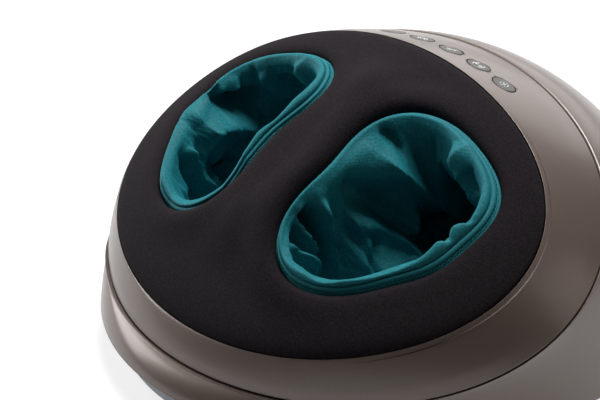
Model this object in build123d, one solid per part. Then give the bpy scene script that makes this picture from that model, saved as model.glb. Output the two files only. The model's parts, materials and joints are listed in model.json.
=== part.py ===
from build123d import *
import os
from math import atan2, cos, pi, radians, sin, sqrt

# A shiatsu foot massager: a low domed housing whose leaning fabric pad has two pockets, one for
# each foot. +Y is where the toes point, +X is across the feet, and +Z is up. The origin is on the
# floor, under the middle of the housing. Lengths are in millimetres, angles in degrees.

# Housing, outer surfaces
SKIRT_HALF_WIDTH = 212.5
SKIRT_HALF_DEPTH = 225.0
SKIRT_LIFT = 25.0
SHOULDER_SHARE = 1.29
PARTING_OVERHANG = 4.5
PARTING_HALF_WIDTH = SKIRT_HALF_WIDTH + PARTING_OVERHANG
PARTING_HALF_DEPTH = 169.5
PARTING_BACK = -52.0
PARTING_HEIGHT = 106.6
PARTING_TILT = 26.4
PARTING_SAG = 13.8
EGG_SHARE = 0.056
RING_BULGE = 1.0
SKIRT_CLIMB_SHARES = (0.0, 0.25, 0.5, 0.75, 0.9, 1.0)
RING_CLIMB_SHARES = (0.3, 0.65, 1.0)
STATIONS = 14
OUTLINE_ARCS = 8
OPENING_ARCS = 16

# Housing, walls and joints
WALL = 2.6
PARTING_GAP = 2.4
PARTING_STEP = 3.2
PARTING_LEDGE = 12.0
FIT_GAP = 0.3
OVERRUN = 6.0
RING_WALL_DEPTH = 8.0

# Pad
PAD_HALF_WIDTH = 190.7
PAD_HALF_DEPTH = 137.3
PAD_BACK = -76.5
PAD_HEIGHT = 132.6
PAD_TILT = 30.7
PAD_SAG = 10.8
PAD_SQUARING = 2.7
PAD_POINTING = 1.5
PAD_ROLL = 3.2
PAD_CROWN = 28.0
PAD_CROWN_SHARES = (2.48, 0.667)
PAD_SECTION_SHARES = (0.94, 0.8, 0.58, 0.2)
RIDGE_HALF_WIDTH = 52.0
RIDGE_DEPTH = 30.0
RIDGE_RISE = 11.0
RIDGE_STEPS = ((-105.0, -0.1), (-75.0, 0.5), (-45.0, 1.0), (60.0, 1.0), (88.0, 0.5), (112.0, -0.1))
PAD_SIDE = 5.0
PAD_TUCK = 1.0
PAD_BOTTOM = 28.0
PAD_DRAW_IN = 17.0
PAD_SLACK = 0.8

# Tray under the pad
TRAY_WALL = 2.6
TRAY_OVERLAP = 14.0
TRAY_EDGE = 1.0
TRAY_SLACK = 1.3

# Foot openings, in the pad's plane: a polar outline about its own middle
OPENING_OUT = 102.6
OPENING_UP = 13.0
OPENING_REACH = 70.5
OPENING_COS_SHARES = (-0.257, -0.099, 0.090, -0.045)
OPENING_SIN_SHARES = (-0.023, 0.050, 0.030, -0.031)
RIM_INNER_OUT = 28.0
RIM_INNER_RISE = 30.0
RIM_OUTER_OUT = 150.0
RIM_OUTER_RISE = -6.0
RIM_FLARE = 13.0
RIM_FLARE_RISE = 15.0
ZIP_THICK = 2.4
ZIP_OVER = 0.9

# Sole level, where the gears lie
SOLE_TILT = 12.0
SOLE_BACK = -25.0
SOLE_LIFT = 40.0
FOOT_OUT = 92.0
POCKET_HALF_WIDTH = 57.0
POCKET_HALF_LENGTH = 131.0
POCKET_EGG_SHARE = 0.08
POCKET_BULGE = 18.0
POCKET_DEPTH_SHARES = (0.0, 0.3, 0.65, 1.0)
TUB_WALL = 2.2
TUB_FLANGE = 6.0

# Gear train
MODULE = 2.5
PRESSURE_ANGLE = 20.0
CENTRE_TEETH = 20
IDLER_TEETH = 20
ROTOR_TEETH = 40
BACKLASH = 0.35
ADDENDUM_SHARE = 1.0
DEDENDUM_SHARE = 1.25
GEAR_FACE = 8.0
RUNNING_GAP = 0.06
END_GAP = 0.5
PLATE = 3.0
AXLE_RADIUS = 4.0
WASHER_RADIUS = 8.0
HEAD_RADIUS = 40.0
HEAD_GAP = 1.5
HEAD_STAND = 1.5
HEAD_SKIN = 2.5
DOME_COUNT = 4
DOME_RADIUS = 11.0
DOME_PITCH_RADIUS = 25.0
DOME_RISE = 12.0
DOME_ROUND_SHARE = 0.8
GEAR_PLATE_HALF_WIDTH = 138.0
GEAR_PLATE_HALF_LENGTH = 82.0
GEAR_PLATE_CORNER = 26.0
SOLE_PLATE_HALF_WIDTH = 158.0
SOLE_PLATE_HALF_LENGTH = 139.0
SOLE_PLATE_CORNER = 66.0
PILLAR_RADIUS = 5.0
PILLAR_SPOTS = ((130.0, 0.0), (-130.0, 0.0), (0.0, 70.0), (0.0, -70.0))

# Gear motor
MOTOR_RADIUS = 18.0
MOTOR_LENGTH = 40.0
GEARBOX_HALF_WIDTH = 21.0
GEARBOX_HALF_LENGTH = 24.0
GEARBOX_HEIGHT = 18.0
SHAFT_RADIUS = 4.0
BUSH_RADIUS = 7.0
SCREW_RADIUS = 1.5
SCREW_HEAD_RADIUS = 3.0
SCREW_HEAD = 1.8

# Liner and air bladders
CLOTH = 1.4
LINER_GAP = 1.2
FOLD = 3.0
FOLD_COUNT = 8
BLADDER_ROOM = 9.0
BLADDER_GAP = 0.5
BLADDER_HALF_WIDTH = 38.0

# Base
BASE_LIFT = 6.8
BASE_HALF_WIDTH = 187.0
BASE_HALF_DEPTH = 206.0
BASE_BACK = -7.0
BASE_WALL = 2.8
BASE_LIP_TOP = 29.0
BASE_LIP_INSET = 4.6
BASE_FLARE_TOP = 22.0
FOOT_RADIUS = 10.0
FOOT_SPOTS = ((0.0, -185.0), (140.0, -110.0), (-140.0, -110.0), (150.0, 95.0), (-150.0, 95.0),
              (0.0, 185.0))
POST_RADIUS = 6.0
SCREW_POST_RADIUS = 5.0
SCREW_POST_INSET = 36.0
SCREW_POST_TOP = 46.0
SCREW_POST_TURNS = (12.0, 62.0, 118.0, 168.0)
RIB_THICK = 2.4
VENT_COUNT = 9
VENT_PITCH = 8.0
VENT_WIDTH = 3.2
VENT_LENGTH = 44.0
VENT_SPOT = (0.0, -120.0)

# Buttons
BUTTON_COUNT = 5
BUTTON_STEP = 8.4
BUTTON_SEAT_SHARE = 0.635
BUTTON_HALF_LONG = 11.0
BUTTON_HALF_SHORT = 8.0
BUTTON_GAP = 0.4
BUTTON_STAND = 1.0
BUTTON_SKIRT = 7.0
BUTTON_FLANGE = 1.2
BUTTON_FLANGE_THICK = 1.4
BUTTON_TRAVEL = 1.0
STEM_RADIUS = 2.2
BOARD_DEPTH = 19.0
BOARD_THICK = 1.6
BOARD_HALF_DEPTH = 8.0
SWITCH_SIZE = 6.0
SWITCH_BODY = 3.0
SWITCH_HEIGHT = 4.0
BOSS_RADIUS = 2.4
BOSS_PAST = 1.2
BUTTON_NAMES = ("button_one", "button_two", "button_three", "button_four", "button_five")

# Pump, valves, control board and inlet
PUMP_FROM_BACK = 93.0
PUMP_SPOT = (-72.0, SKIRT_HALF_DEPTH - PUMP_FROM_BACK)
PUMP_SIZE = (64.0, 38.0, 34.0)
PUMP_MOTOR_RADIUS = 14.0
PUMP_MOTOR_LENGTH = 26.0
PUMP_STANDS = 4.0
STAND_RADIUS = 3.0
STAND_SHARE = 0.84
NOZZLE_LENGTH = 6.0
CONTROL_FROM_BACK = 93.0
CONTROL_SPOT = (72.0, SKIRT_HALF_DEPTH - CONTROL_FROM_BACK)
CONTROL_SIZE = (84.0, 44.0, 1.6)
CONTROL_STANDS = 6.0
CONTROL_BLOCKS = ((-0.3, 0.1, (22.0, 20.0, 18.0)), (0.36, 0.3, (12.0, 8.0, 10.0)),
                  (0.36, -0.25, (14.0, 8.0, 10.0)), (0.08, 0.32, (24.0, 4.0, 16.0)))
CONTROL_CANS = ((0.1, -0.2, 5.0, 14.0), (-0.08, -0.25, 4.0, 10.0))
VALVES_FROM_BACK = 65.0
VALVE_SPOT = (0.0, SKIRT_HALF_DEPTH - VALVES_FROM_BACK)
VALVE_COUNT = 3
VALVE_PITCH = 17.0
VALVE_SIZE = (13.0, 18.0, 20.0)
MANIFOLD_SIZE = (56.0, 12.0, 8.0)
HOSE_RADIUS = 2.5
INLET_LIFT = 31.0
INLET_SIZE = (28.0, 24.0, 16.0)
INLET_STAND = 0.2
SOCKET_SIZE = (17.6, 12.0, 9.0)
SOCKET_PIN_RADIUS = 1.2
SOCKET_PIN_OUT = 4.3
INLET_FLANGE = 3.0
INLET_FLANGE_BACK = 12.0


def leaning(back, height, tilt, u, v, w):
    """A point given along, up and out of a plane that leans by tilt about the X axis."""
    lean = radians(tilt)
    return Vector(u, back + v * cos(lean) - w * sin(lean), height + v * sin(lean) + w * cos(lean))


def foot_edge(turn):
    """The skirt's lower edge."""
    return Vector(SKIRT_HALF_WIDTH * cos(turn), SKIRT_HALF_DEPTH * sin(turn), SKIRT_LIFT)


def parting_edge(turn):
    """The line where the skirt ends and the ring begins, an egg that sags at the sides."""
    u = PARTING_HALF_WIDTH * cos(turn) * (1 + EGG_SHARE * sin(turn))
    v = PARTING_HALF_DEPTH * sin(turn)
    w = -PARTING_SAG * cos(2 * turn)
    return leaning(PARTING_BACK, PARTING_HEIGHT, PARTING_TILT, u, v, w)


def on_pad(u, v, w):
    """A point given in the pad's plane and out of it."""
    return leaning(PAD_BACK, PAD_HEIGHT, PAD_TILT, u, v, w)


def pad_outline(turn, inset=0.0):
    """The pad's outline in its own plane, drawn in by inset."""
    u = (PAD_HALF_WIDTH - inset) * cos(turn) * (1 + EGG_SHARE * sin(turn))
    v = (PAD_HALF_DEPTH - inset) * sin(turn) + PAD_SQUARING * cos(2 * turn)
    return u, v + PAD_POINTING * sin(3 * turn)


def pad_rise(turn):
    """How far the pad's edge stands out of the pad's plane."""
    return -PAD_SAG * cos(2 * turn) - PAD_ROLL * sin(3 * turn)


def pad_edge(turn, inset=0.0, drop=0.0):
    u, v = pad_outline(turn, inset)
    return on_pad(u, v, pad_rise(turn) - drop)


def skirt_skin(turn, climb):
    """The skirt's outer surface, from its lower edge at 0 to the parting line at 1."""
    low = foot_edge(turn)
    high = parting_edge(turn)
    along = climb * pi / 2
    inward = 1 - cos(along) ** SHOULDER_SHARE if climb < 1 else 1
    upward = sin(along) ** SHOULDER_SHARE
    return Vector(low.X + (high.X - low.X) * inward, low.Y + (high.Y - low.Y) * inward,
                  low.Z + (high.Z - low.Z) * upward)


def ring_frame(turn):
    """Directions at the parting line: along the ring towards the pad, and out of the ring."""
    step = radians(1)
    along = parting_edge(turn + step) - parting_edge(turn - step)
    inward = (pad_edge(turn) - parting_edge(turn)).normalized()
    return inward, inward.cross(along).normalized() * -1


def ring_skin(turn, climb):
    """The ring's outer surface, from the parting line at 0 to the pad at 1."""
    low = parting_edge(turn)
    high = pad_edge(turn)
    inward, outward = ring_frame(turn)
    return low + (high - low) * climb + outward * (RING_BULGE * 4 * climb * (1 - climb))


def normal_of(skin, turn, climb):
    """The outward normal of a skin, by small steps."""
    step = radians(1)
    along = skin(turn + step, climb) - skin(turn - step, climb)
    up = skin(turn, min(climb + step, 1)) - skin(turn, max(climb - step, 0))
    return along.cross(up).normalized()


def closed_wire(*runs):
    """A closed wire: a run of three points or more is a spline, and lines join the runs."""
    edges = []
    for number, run in enumerate(runs):
        follower = runs[(number + 1) % len(runs)]
        if len(run) > 2:
            edges.append(Edge.make_spline(run))
        else:
            edges += [Edge.make_line(a, b) for a, b in zip(run, run[1:])]
        edges.append(Edge.make_line(run[-1], follower[0]))
    return Wire(edges)


def band(profile):
    """A closed band round the housing, lofted through its section on one side and mirrored."""
    half = Solid.make_loft([profile(pi * k / STATIONS - pi / 2) for k in range(STATIONS + 1)])
    return half + half.mirror(Plane.YZ)


def arc_wire(point, arcs):
    """A closed wire of equal arcs through a point function of the turn."""
    step = 2 * pi / arcs
    return Wire([Edge.make_three_point_arc(point(k * step), point((k + 0.5) * step), point((k + 1) * step))
                 for k in range(arcs)])


def upright(place, radius, low, high):
    """A cylinder along the Z axis of a place, from low to high."""
    return place.location * Pos(0, 0, low) * Cylinder(radius, high - low,
                                                      align=(Align.CENTER, Align.CENTER, Align.MIN))


def block(size, low):
    """A box centred in X and Y whose bottom is at low."""
    return Pos(0, 0, low) * Box(*size, align=(Align.CENTER, Align.CENTER, Align.MIN))


def group(solids):
    """Several separate solids in one node."""
    return Compound(children=[s.solid() for s in solids])


def skirt_profile(turn):
    inward, outward = ring_frame(turn)
    outer = [skirt_skin(turn, climb) for climb in SKIRT_CLIMB_SHARES]
    shelf = outer[-1] - outward * PARTING_STEP
    inner = [shelf - outward * WALL]
    for climb in reversed(SKIRT_CLIMB_SHARES[:-1]):
        inner.append(skirt_skin(turn, climb) - normal_of(skirt_skin, turn, climb) * WALL)
    shelf_end = shelf + inward * PARTING_LEDGE
    return closed_wire(outer, [shelf, shelf_end], [shelf_end - outward * WALL], inner)


def screw_posts():
    """Where the skirt's screw posts stand: the middle of each, and the wall beside it."""
    spots = []
    for turn in SCREW_POST_TURNS:
        wall = skirt_skin(radians(turn), SKIRT_CLIMB_SHARES[1] / 2)
        outward = Vector(wall.X, wall.Y, 0).normalized()
        spots.append((Vector(wall.X, wall.Y, 0) - outward * SCREW_POST_INSET, wall, outward))
    return spots


def build_lower_skirt():
    skirt = band(skirt_profile)
    for middle, wall, outward in screw_posts():
        place = Plane(origin=middle, x_dir=outward, z_dir=Vector(0, 0, 1))
        post = upright(place, SCREW_POST_RADIUS, BASE_LIFT + BASE_WALL, SCREW_POST_TOP)
        reach = SCREW_POST_INSET - WALL / 2
        rib = place.location * Pos(reach / 2, 0, 0) * block(
            (reach, RIB_THICK, SCREW_POST_TOP - BASE_LIP_TOP - WALL), BASE_LIP_TOP + WALL)
        bore = upright(place, SCREW_RADIUS + RUNNING_GAP, BASE_LIFT, SCREW_POST_TOP - WALL)
        skirt = skirt + (post + rib) - bore
    window = Pos(0, SKIRT_HALF_DEPTH, 0) * block((INLET_SIZE[0] + 2 * FIT_GAP, OVERRUN * 4,
                                                  INLET_SIZE[2] + 2 * FIT_GAP), INLET_LIFT - FIT_GAP)
    return skirt - window


def ring_profile(turn):
    inward, outward = ring_frame(turn)
    start = PARTING_GAP / (pad_edge(turn) - parting_edge(turn)).length
    climbs = [start + (1 - start) * share for share in (0.0,) + RING_CLIMB_SHARES]
    outer = [ring_skin(turn, climb) for climb in climbs]
    inner = [pad_edge(turn, -WALL, WALL)]
    for climb in reversed(climbs[1:-1]):
        inner.append(ring_skin(turn, climb) - normal_of(ring_skin, turn, climb) * WALL)
    inner.append(outer[0] + inward * WALL - outward * WALL)
    foot = outer[0] - outward * (PARTING_STEP - FIT_GAP)
    return closed_wire(outer, [pad_edge(turn, 0, RING_WALL_DEPTH), pad_edge(turn, -WALL, RING_WALL_DEPTH)],
                       inner, [foot + inward * WALL, foot])


def press_axis():
    """All the buttons slide along the ring's normal at the middle one."""
    return ring_frame(pi / 2)[1]


def panel_place(turn):
    """A plane at a button's seat on the ring, facing along the press axis."""
    step = radians(1)
    axis = press_axis()
    along = ring_skin(turn - step, BUTTON_SEAT_SHARE) - ring_skin(turn + step, BUTTON_SEAT_SHARE)
    return Plane(origin=ring_skin(turn, BUTTON_SEAT_SHARE), x_dir=along - axis * along.dot(axis), z_dir=axis)


def button_turns():
    middle = (BUTTON_COUNT - 1) / 2
    return [pi / 2 - radians(BUTTON_STEP) * (k - middle) for k in range(BUTTON_COUNT)]


def boss_turns():
    """Posts for the button board: one past each end, and one on each side of the middle button."""
    half = radians(BUTTON_STEP) / 2
    end = half * BUTTON_COUNT + radians(BOSS_PAST)
    return [pi / 2 - end, pi / 2 - half, pi / 2 + half, pi / 2 + end]


def board_plane():
    """The top of the button board, square to the press axis."""
    return panel_place(pi / 2).offset(-BOARD_DEPTH)


def height_over_board(point):
    board = board_plane()
    return (point - board.origin).dot(board.z_dir)


def oval_prism(place, half_long, half_short, low, high):
    """An oval block along the Z axis of a place, from low to high."""
    return place.location * Pos(0, 0, low) * extrude(Ellipse(half_long, half_short), high - low)


def build_upper_ring():
    ring = band(ring_profile)
    for turn in button_turns():
        ring = ring - oval_prism(panel_place(turn), BUTTON_HALF_LONG, BUTTON_HALF_SHORT, -OVERRUN, OVERRUN)
    for turn in boss_turns():
        place = panel_place(turn)
        low = FIT_GAP - height_over_board(place.origin)
        ring = ring + upright(place, BOSS_RADIUS, low, -WALL / 2)
    return ring


def build_button(turn):
    """A cap that follows the ring's slope, with a flange under the ring and a stem."""
    place = panel_place(turn)
    slope = normal_of(ring_skin, turn, BUTTON_SEAT_SHARE)
    cap = oval_prism(place, BUTTON_HALF_LONG - BUTTON_GAP, BUTTON_HALF_SHORT - BUTTON_GAP,
                     -BUTTON_SKIRT, BUTTON_SKIRT)
    top = Plane(origin=place.origin + slope * BUTTON_STAND, z_dir=slope)
    cap = split(cap, bisect_by=top, keep=Keep.BOTTOM)
    flange = oval_prism(place, BUTTON_HALF_LONG + BUTTON_FLANGE, BUTTON_HALF_SHORT + BUTTON_FLANGE,
                        -BUTTON_SKIRT, -BUTTON_SKIRT + BUTTON_FLANGE_THICK)
    reach = height_over_board(place.origin) - SWITCH_HEIGHT - BUTTON_TRAVEL - FIT_GAP
    return cap + flange + upright(place, STEM_RADIUS, -reach, -BUTTON_SKIRT)


def build_button_board():
    board = board_plane()
    spots = [board.to_local_coords(ring_skin(turn, BUTTON_SEAT_SHARE)) for turn in
             (boss_turns()[0], pi / 2, boss_turns()[-1])]
    side = Vector(BOARD_HALF_DEPTH, 0, 0)
    up = Vector(0, BOARD_HALF_DEPTH, 0)
    stretch = [side if spots[0].X > 0 else side * -1, Vector(0, 0, 0), side if spots[2].X > 0 else side * -1]
    flat = [Vector(spot.X, spot.Y, 0) + more for spot, more in zip(spots, stretch)]
    far = [spot + up for spot in flat]
    near = [spot - up for spot in flat]
    outline = Wire([Edge.make_three_point_arc(*far), Edge.make_line(far[2], near[2]),
                    Edge.make_three_point_arc(near[2], near[1], near[0]), Edge.make_line(near[0], far[0])])
    return board.location * Pos(0, 0, -BOARD_THICK) * extrude(Face(outline), BOARD_THICK, dir=(0, 0, 1))


def build_tact_switches():
    """One switch under each button's stem."""
    board = board_plane()
    switches = []
    for turn in button_turns():
        spot = board.to_local_coords(panel_place(turn).origin)
        body = block((SWITCH_SIZE, SWITCH_SIZE, SWITCH_BODY), 0)
        body = body + upright(Plane.XY, STEM_RADIUS, 0, SWITCH_HEIGHT)
        switches.append(board.location * Pos(spot.X, spot.Y, 0) * body)
    return group(switches)


def opening_outline(turn, grow):
    """A foot opening's outline in the pad's plane, on the +X side."""
    share = 1.0
    for number, (even, odd) in enumerate(zip(OPENING_COS_SHARES, OPENING_SIN_SHARES)):
        share += even * cos((number + 1) * turn) + odd * sin((number + 1) * turn)
    reach = OPENING_REACH * share + grow
    return OPENING_OUT + reach * cos(turn), OPENING_UP + reach * sin(turn)


def rim_rise(u):
    """How far the rim stands out of the pad's plane: high at the ridge between the feet."""
    slope = (RIM_OUTER_RISE - RIM_INNER_RISE) / (RIM_OUTER_OUT - RIM_INNER_OUT)
    return RIM_INNER_RISE + (u - RIM_INNER_OUT) * slope


def opening_point(turn, grow, level=None, over=0.0):
    """A point of the opening's outline at a level of the pad's plane, or at the rim."""
    u, v = opening_outline(turn, grow)
    return on_pad(u, v, (rim_rise(u) if level is None else level) + over)


def opening_tube(grow, low, high):
    """A straight block through the pad's plane with the opening's outline."""
    return Solid.make_loft([arc_wire(lambda t, level=level: opening_point(t, grow, level), OPENING_ARCS)
                            for level in (low, high)], True)


def opening_flare():
    """The soft dip round an opening, as a funnel on the rim's plane."""
    rings = ((-RIM_FLARE / 4, -RIM_FLARE_RISE), (RIM_FLARE / 4, 0), (RIM_FLARE, RIM_FLARE_RISE),
             (2 * RIM_FLARE, 2 * RIM_FLARE_RISE))
    return Solid.make_loft([arc_wire(lambda t, grow=grow, over=over: opening_point(t, grow, None, over),
                                     OPENING_ARCS) for grow, over in rings], True)


def both_sides(right):
    """A solid of the +X side with its mirror image."""
    return right, right.mirror(Plane.YZ)


def pad_side_inset(turn, w):
    """How far the pad's side is drawn in at a height w in the pad's plane."""
    top = pad_rise(turn) - PAD_SIDE
    return PAD_TUCK + (PAD_DRAW_IN - PAD_TUCK) * (top - w) / (top + PAD_BOTTOM)


def crown_point(turn, share):
    """A point of the pad's crowned top, at a share of the way out to the pad's edge."""
    power, root = PAD_CROWN_SHARES
    u, v = pad_outline(turn, PAD_SLACK)
    saddle = pad_rise(turn) * max(share ** 2 - PAD_SECTION_SHARES[-1] ** 2, 0)
    return on_pad(u * share, v * share, saddle + PAD_CROWN * (1 - share ** power) ** root)


def ridge_section(v, share):
    """A round-topped section of the ridge between the feet, standing on the pad's crown."""
    edge = pad_outline(pi / 2 if v > 0 else -pi / 2, PAD_SLACK)[1]
    crown = (crown_point(pi / 2 if v > 0 else -pi / 2, v / edge) - on_pad(0, v, 0)).length
    top = crown + RIDGE_RISE * share
    low = top - RIDGE_DEPTH
    left = on_pad(-RIDGE_HALF_WIDTH, v, low)
    right = on_pad(RIDGE_HALF_WIDTH, v, low)
    return Wire([Edge.make_three_point_arc(left, on_pad(0, v, top), right), Edge.make_line(right, left)])


def build_top_pad():
    """The foam pad: drawn-in sides, a crown, a ridge between the feet, and a dip at each opening."""
    def bottom(turn):
        u, v = pad_outline(turn, PAD_DRAW_IN)
        return on_pad(u, v, -PAD_BOTTOM)
    sections = [bottom, lambda t: pad_edge(t, PAD_TUCK, PAD_SIDE), lambda t: pad_edge(t, PAD_SLACK, 0)]
    sections += [lambda t, share=share: crown_point(t, share) for share in PAD_SECTION_SHARES]
    pad = Solid.make_loft([arc_wire(section, OUTLINE_ARCS) for section in sections], True)
    pad = pad + Solid.make_loft([ridge_section(v, share) for v, share in RIDGE_STEPS])
    tube = opening_tube(0, -PAD_BOTTOM - OVERRUN, PAD_CROWN * 2)
    for tool in both_sides(tube) + both_sides(opening_flare()):
        pad = pad - tool
    return pad


def tray_profile(turn):
    lip = pad_rise(turn) - RING_WALL_DEPTH - FIT_GAP
    floor = -PAD_BOTTOM - PAD_SLACK
    inset = max(pad_side_inset(turn, lip) - TRAY_SLACK, TRAY_EDGE)
    corner = PAD_DRAW_IN - TRAY_SLACK

    def at(inset, w):
        u, v = pad_outline(turn, inset)
        return on_pad(u, v, w)
    ledge = corner + TRAY_OVERLAP
    under = floor - TRAY_WALL
    return closed_wire([at(-WALL, lip), at(inset, lip)], [at(corner, floor), at(ledge, floor)],
                       [at(ledge, under), at(corner - TRAY_WALL / 2, under)],
                       [at(inset - TRAY_WALL, lip - TRAY_WALL), at(-WALL, lip - TRAY_WALL)])


def tray_level():
    """The tray's underside, in the pad's plane."""
    return -PAD_BOTTOM - PAD_SLACK - TRAY_WALL


def build_pad_tray():
    """The rigid tray that holds the pad and hangs under the ring's inner wall."""
    def inner_edge(turn):
        u, v = pad_outline(turn, PAD_DRAW_IN + TRAY_OVERLAP / 2)
        return on_pad(u, v, tray_level())
    outward = on_pad(0, 0, 1) - on_pad(0, 0, 0)
    tray = band(tray_profile) + extrude(Face(arc_wire(inner_edge, OPENING_ARCS)), TRAY_WALL, dir=outward)
    for tool in both_sides(opening_tube(0, tray_level() - OVERRUN, OVERRUN - PAD_BOTTOM)):
        tray = tray - tool
    return tray


def sole_point(x, s, t):
    """A point given in the sole's plane: across, along and out of it."""
    return leaning(SOLE_BACK, SOLE_LIFT, SOLE_TILT, x, s, t)


def sole_plane():
    return Plane(origin=sole_point(0, 0, 0), x_dir=(1, 0, 0), z_dir=sole_point(0, 0, 1) - sole_point(0, 0, 0))


def gear_level():
    return PLATE + END_GAP


def cover_level():
    """The underside of the sole plate."""
    return gear_level() + GEAR_FACE + END_GAP


def cover_top():
    return cover_level() + PLATE


def dome_top():
    return cover_top() + HEAD_STAND + DOME_RISE


def pocket_point(turn, depth, grow, low, high, fold=0.0):
    """A point of a foot pocket's wall, from the tray's level at depth 0 to the sole's at 1."""
    u, v = opening_outline(turn, grow)
    upper = on_pad(u, v, high)
    grow = grow + fold * sin(FOLD_COUNT * turn)
    x = FOOT_OUT + (POCKET_HALF_WIDTH + grow) * cos(turn) * (1 + POCKET_EGG_SHARE * sin(turn))
    lower = sole_point(x, (POCKET_HALF_LENGTH + grow) * sin(turn), low)
    bulge = POCKET_BULGE * 4 * depth * (1 - depth) * max(sin(turn), 0) ** 2
    return upper + (lower - upper) * depth + sole_up() * bulge


def sole_up():
    """The direction out of the sole's plane."""
    return sole_point(0, 0, 1) - sole_point(0, 0, 0)


def tub_solid(grow, low, high):
    """The space inside a foot tub: depth 0 at the tray, 1 at the sole plate."""
    def wall(depth):
        return arc_wire(lambda turn: pocket_point(turn, depth, grow, low, high), OPENING_ARCS)
    return Solid.make_loft([wall(depth) for depth in POCKET_DEPTH_SHARES], True)


def build_foot_tub():
    """The rigid wall round one foot, open at the tray and at the sole, flanged at both."""
    sole = cover_top() + FIT_GAP
    top = tray_level() - FIT_GAP
    tub = tub_solid(TUB_WALL, sole, top)
    upper = opening_tube(TUB_WALL + TUB_FLANGE, top - TUB_WALL, top)
    rim = TUB_WALL + TUB_FLANGE
    lower = sole_plane().location * Pos(FOOT_OUT, 0, sole) * extrude(
        Ellipse(POCKET_HALF_WIDTH + rim, POCKET_HALF_LENGTH + rim), TUB_WALL)
    return (tub + upper + lower) - tub_solid(0, sole, top)


def liner_space(grow, floor):
    """The space inside a liner, from the rim down to its sole, with folds and room over the toes."""
    def wall(depth):
        def point(turn):
            deep = min(depth / POCKET_DEPTH_SHARES[1], 1)
            inset = LINER_GAP + (FOLD + BLADDER_ROOM * max(sin(turn), 0)) * deep
            return pocket_point(turn, depth, grow - inset, cover_top() + FIT_GAP, tray_level(), FOLD * deep)
        return arc_wire(point, OPENING_ARCS)
    rim = arc_wire(lambda turn: opening_point(turn, grow - LINER_GAP), OPENING_ARCS)
    space = Solid.make_loft([rim] + [wall(depth) for depth in POCKET_DEPTH_SHARES], True)
    return split(space, bisect_by=sole_plane().offset(floor), keep=Keep.TOP)


def build_liner():
    """The cloth pocket: a thin folded wall from the rim to a closed sole over the turning heads."""
    low = dome_top() + FIT_GAP
    return liner_space(0, low) - liner_space(-CLOTH, low + CLOTH)


def build_zip_band():
    """The zip's tape and teeth, a flat ring lying on the rim, just inside the pad's opening."""
    outer = rim_disc(-LINER_GAP + ZIP_OVER)
    return outer - rim_disc(-LINER_GAP - CLOTH)


def gear_profile(teeth, phase):
    """An involute gear's outline about the origin, with its first tooth at the phase angle."""
    pitch = MODULE * teeth / 2
    base = pitch * cos(radians(PRESSURE_ANGLE))
    tip = pitch + MODULE * ADDENDUM_SHARE
    root = pitch - MODULE * DEDENDUM_SHARE

    def involute(radius):
        spread = sqrt(max((radius / base) ** 2 - 1, 0))
        return spread - atan2(spread, 1)
    half = (pi * MODULE / 2 - BACKLASH / 2) / 2 / pitch
    points = []
    for tooth in range(teeth):
        middle = phase + 2 * pi * tooth / teeth
        for radius, side in ((root, -1), (pitch, -1), (tip, -1), (tip, 1), (pitch, 1), (root, 1)):
            angle = middle + side * (half + involute(pitch) - involute(max(radius, base)))
            points.append((radius * cos(angle), radius * sin(angle)))
    return make_face(Polyline(*points, close=True))


def gear(teeth, phase, x, s):
    """A gear lying at the gear level of the sole plane, about a place across and along it."""
    return Pos(x, s, gear_level()) * extrude(gear_profile(teeth, phase), GEAR_FACE)


def meshed_phase(teeth, phase, other_teeth, direction):
    """The phase of a gear that meshes with another, seen from the other in a direction."""
    pitch = 2 * pi / teeth
    offset = (direction - phase) % pitch
    return direction + pi + offset * teeth / other_teeth + pi / other_teeth


def centre_distance(teeth, other_teeth):
    return MODULE * (teeth + other_teeth) / 2


def rotor_spots():
    """Where the four turning heads lie, across and along the sole: outside, toes and heels."""
    idler = centre_distance(CENTRE_TEETH, IDLER_TEETH)
    reach = centre_distance(IDLER_TEETH, ROTOR_TEETH)
    along = sqrt(reach ** 2 - (FOOT_OUT - idler) ** 2)
    return {"fore_right": (FOOT_OUT, along), "heel_right": (FOOT_OUT, -along),
            "fore_left": (-FOOT_OUT, along), "heel_left": (-FOOT_OUT, -along)}


def idler_spots():
    idler = centre_distance(CENTRE_TEETH, IDLER_TEETH)
    return {"right": (idler, 0.0), "left": (-idler, 0.0)}


def build_drive_gear():
    """The motor's gear, with the output shaft's flat in its bore."""
    bore = upright(Plane.XY, SHAFT_RADIUS, gear_level() - OVERRUN, cover_level() + OVERRUN)
    return gear(CENTRE_TEETH, 0.0, 0, 0) - bore


def build_idler(side):
    x, s = idler_spots()[side]
    disc = gear(IDLER_TEETH, meshed_phase(CENTRE_TEETH, 0.0, IDLER_TEETH, atan2(s, x)), x, s)
    return disc - Pos(x, s, 0) * upright(Plane.XY, AXLE_RADIUS + RUNNING_GAP, 0, cover_level() + OVERRUN)


def build_rotor(place):
    """A massage rotor: a large gear whose raised head comes up through the sole plate."""
    x, s = rotor_spots()[place]
    side = "right" if x > 0 else "left"
    ix, js = idler_spots()[side]
    idler_phase = meshed_phase(CENTRE_TEETH, 0.0, IDLER_TEETH, atan2(js, ix))
    phase = meshed_phase(IDLER_TEETH, idler_phase, ROTOR_TEETH, atan2(s - js, x - ix))
    head_top = cover_top() + HEAD_STAND
    head = Pos(x, s, 0) * upright(Plane.XY, HEAD_RADIUS, gear_level(), head_top)
    bore = Pos(x, s, 0) * upright(Plane.XY, AXLE_RADIUS + RUNNING_GAP, 0, head_top - HEAD_SKIN)
    return gear(ROTOR_TEETH, phase, x, s) + head - bore


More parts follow.
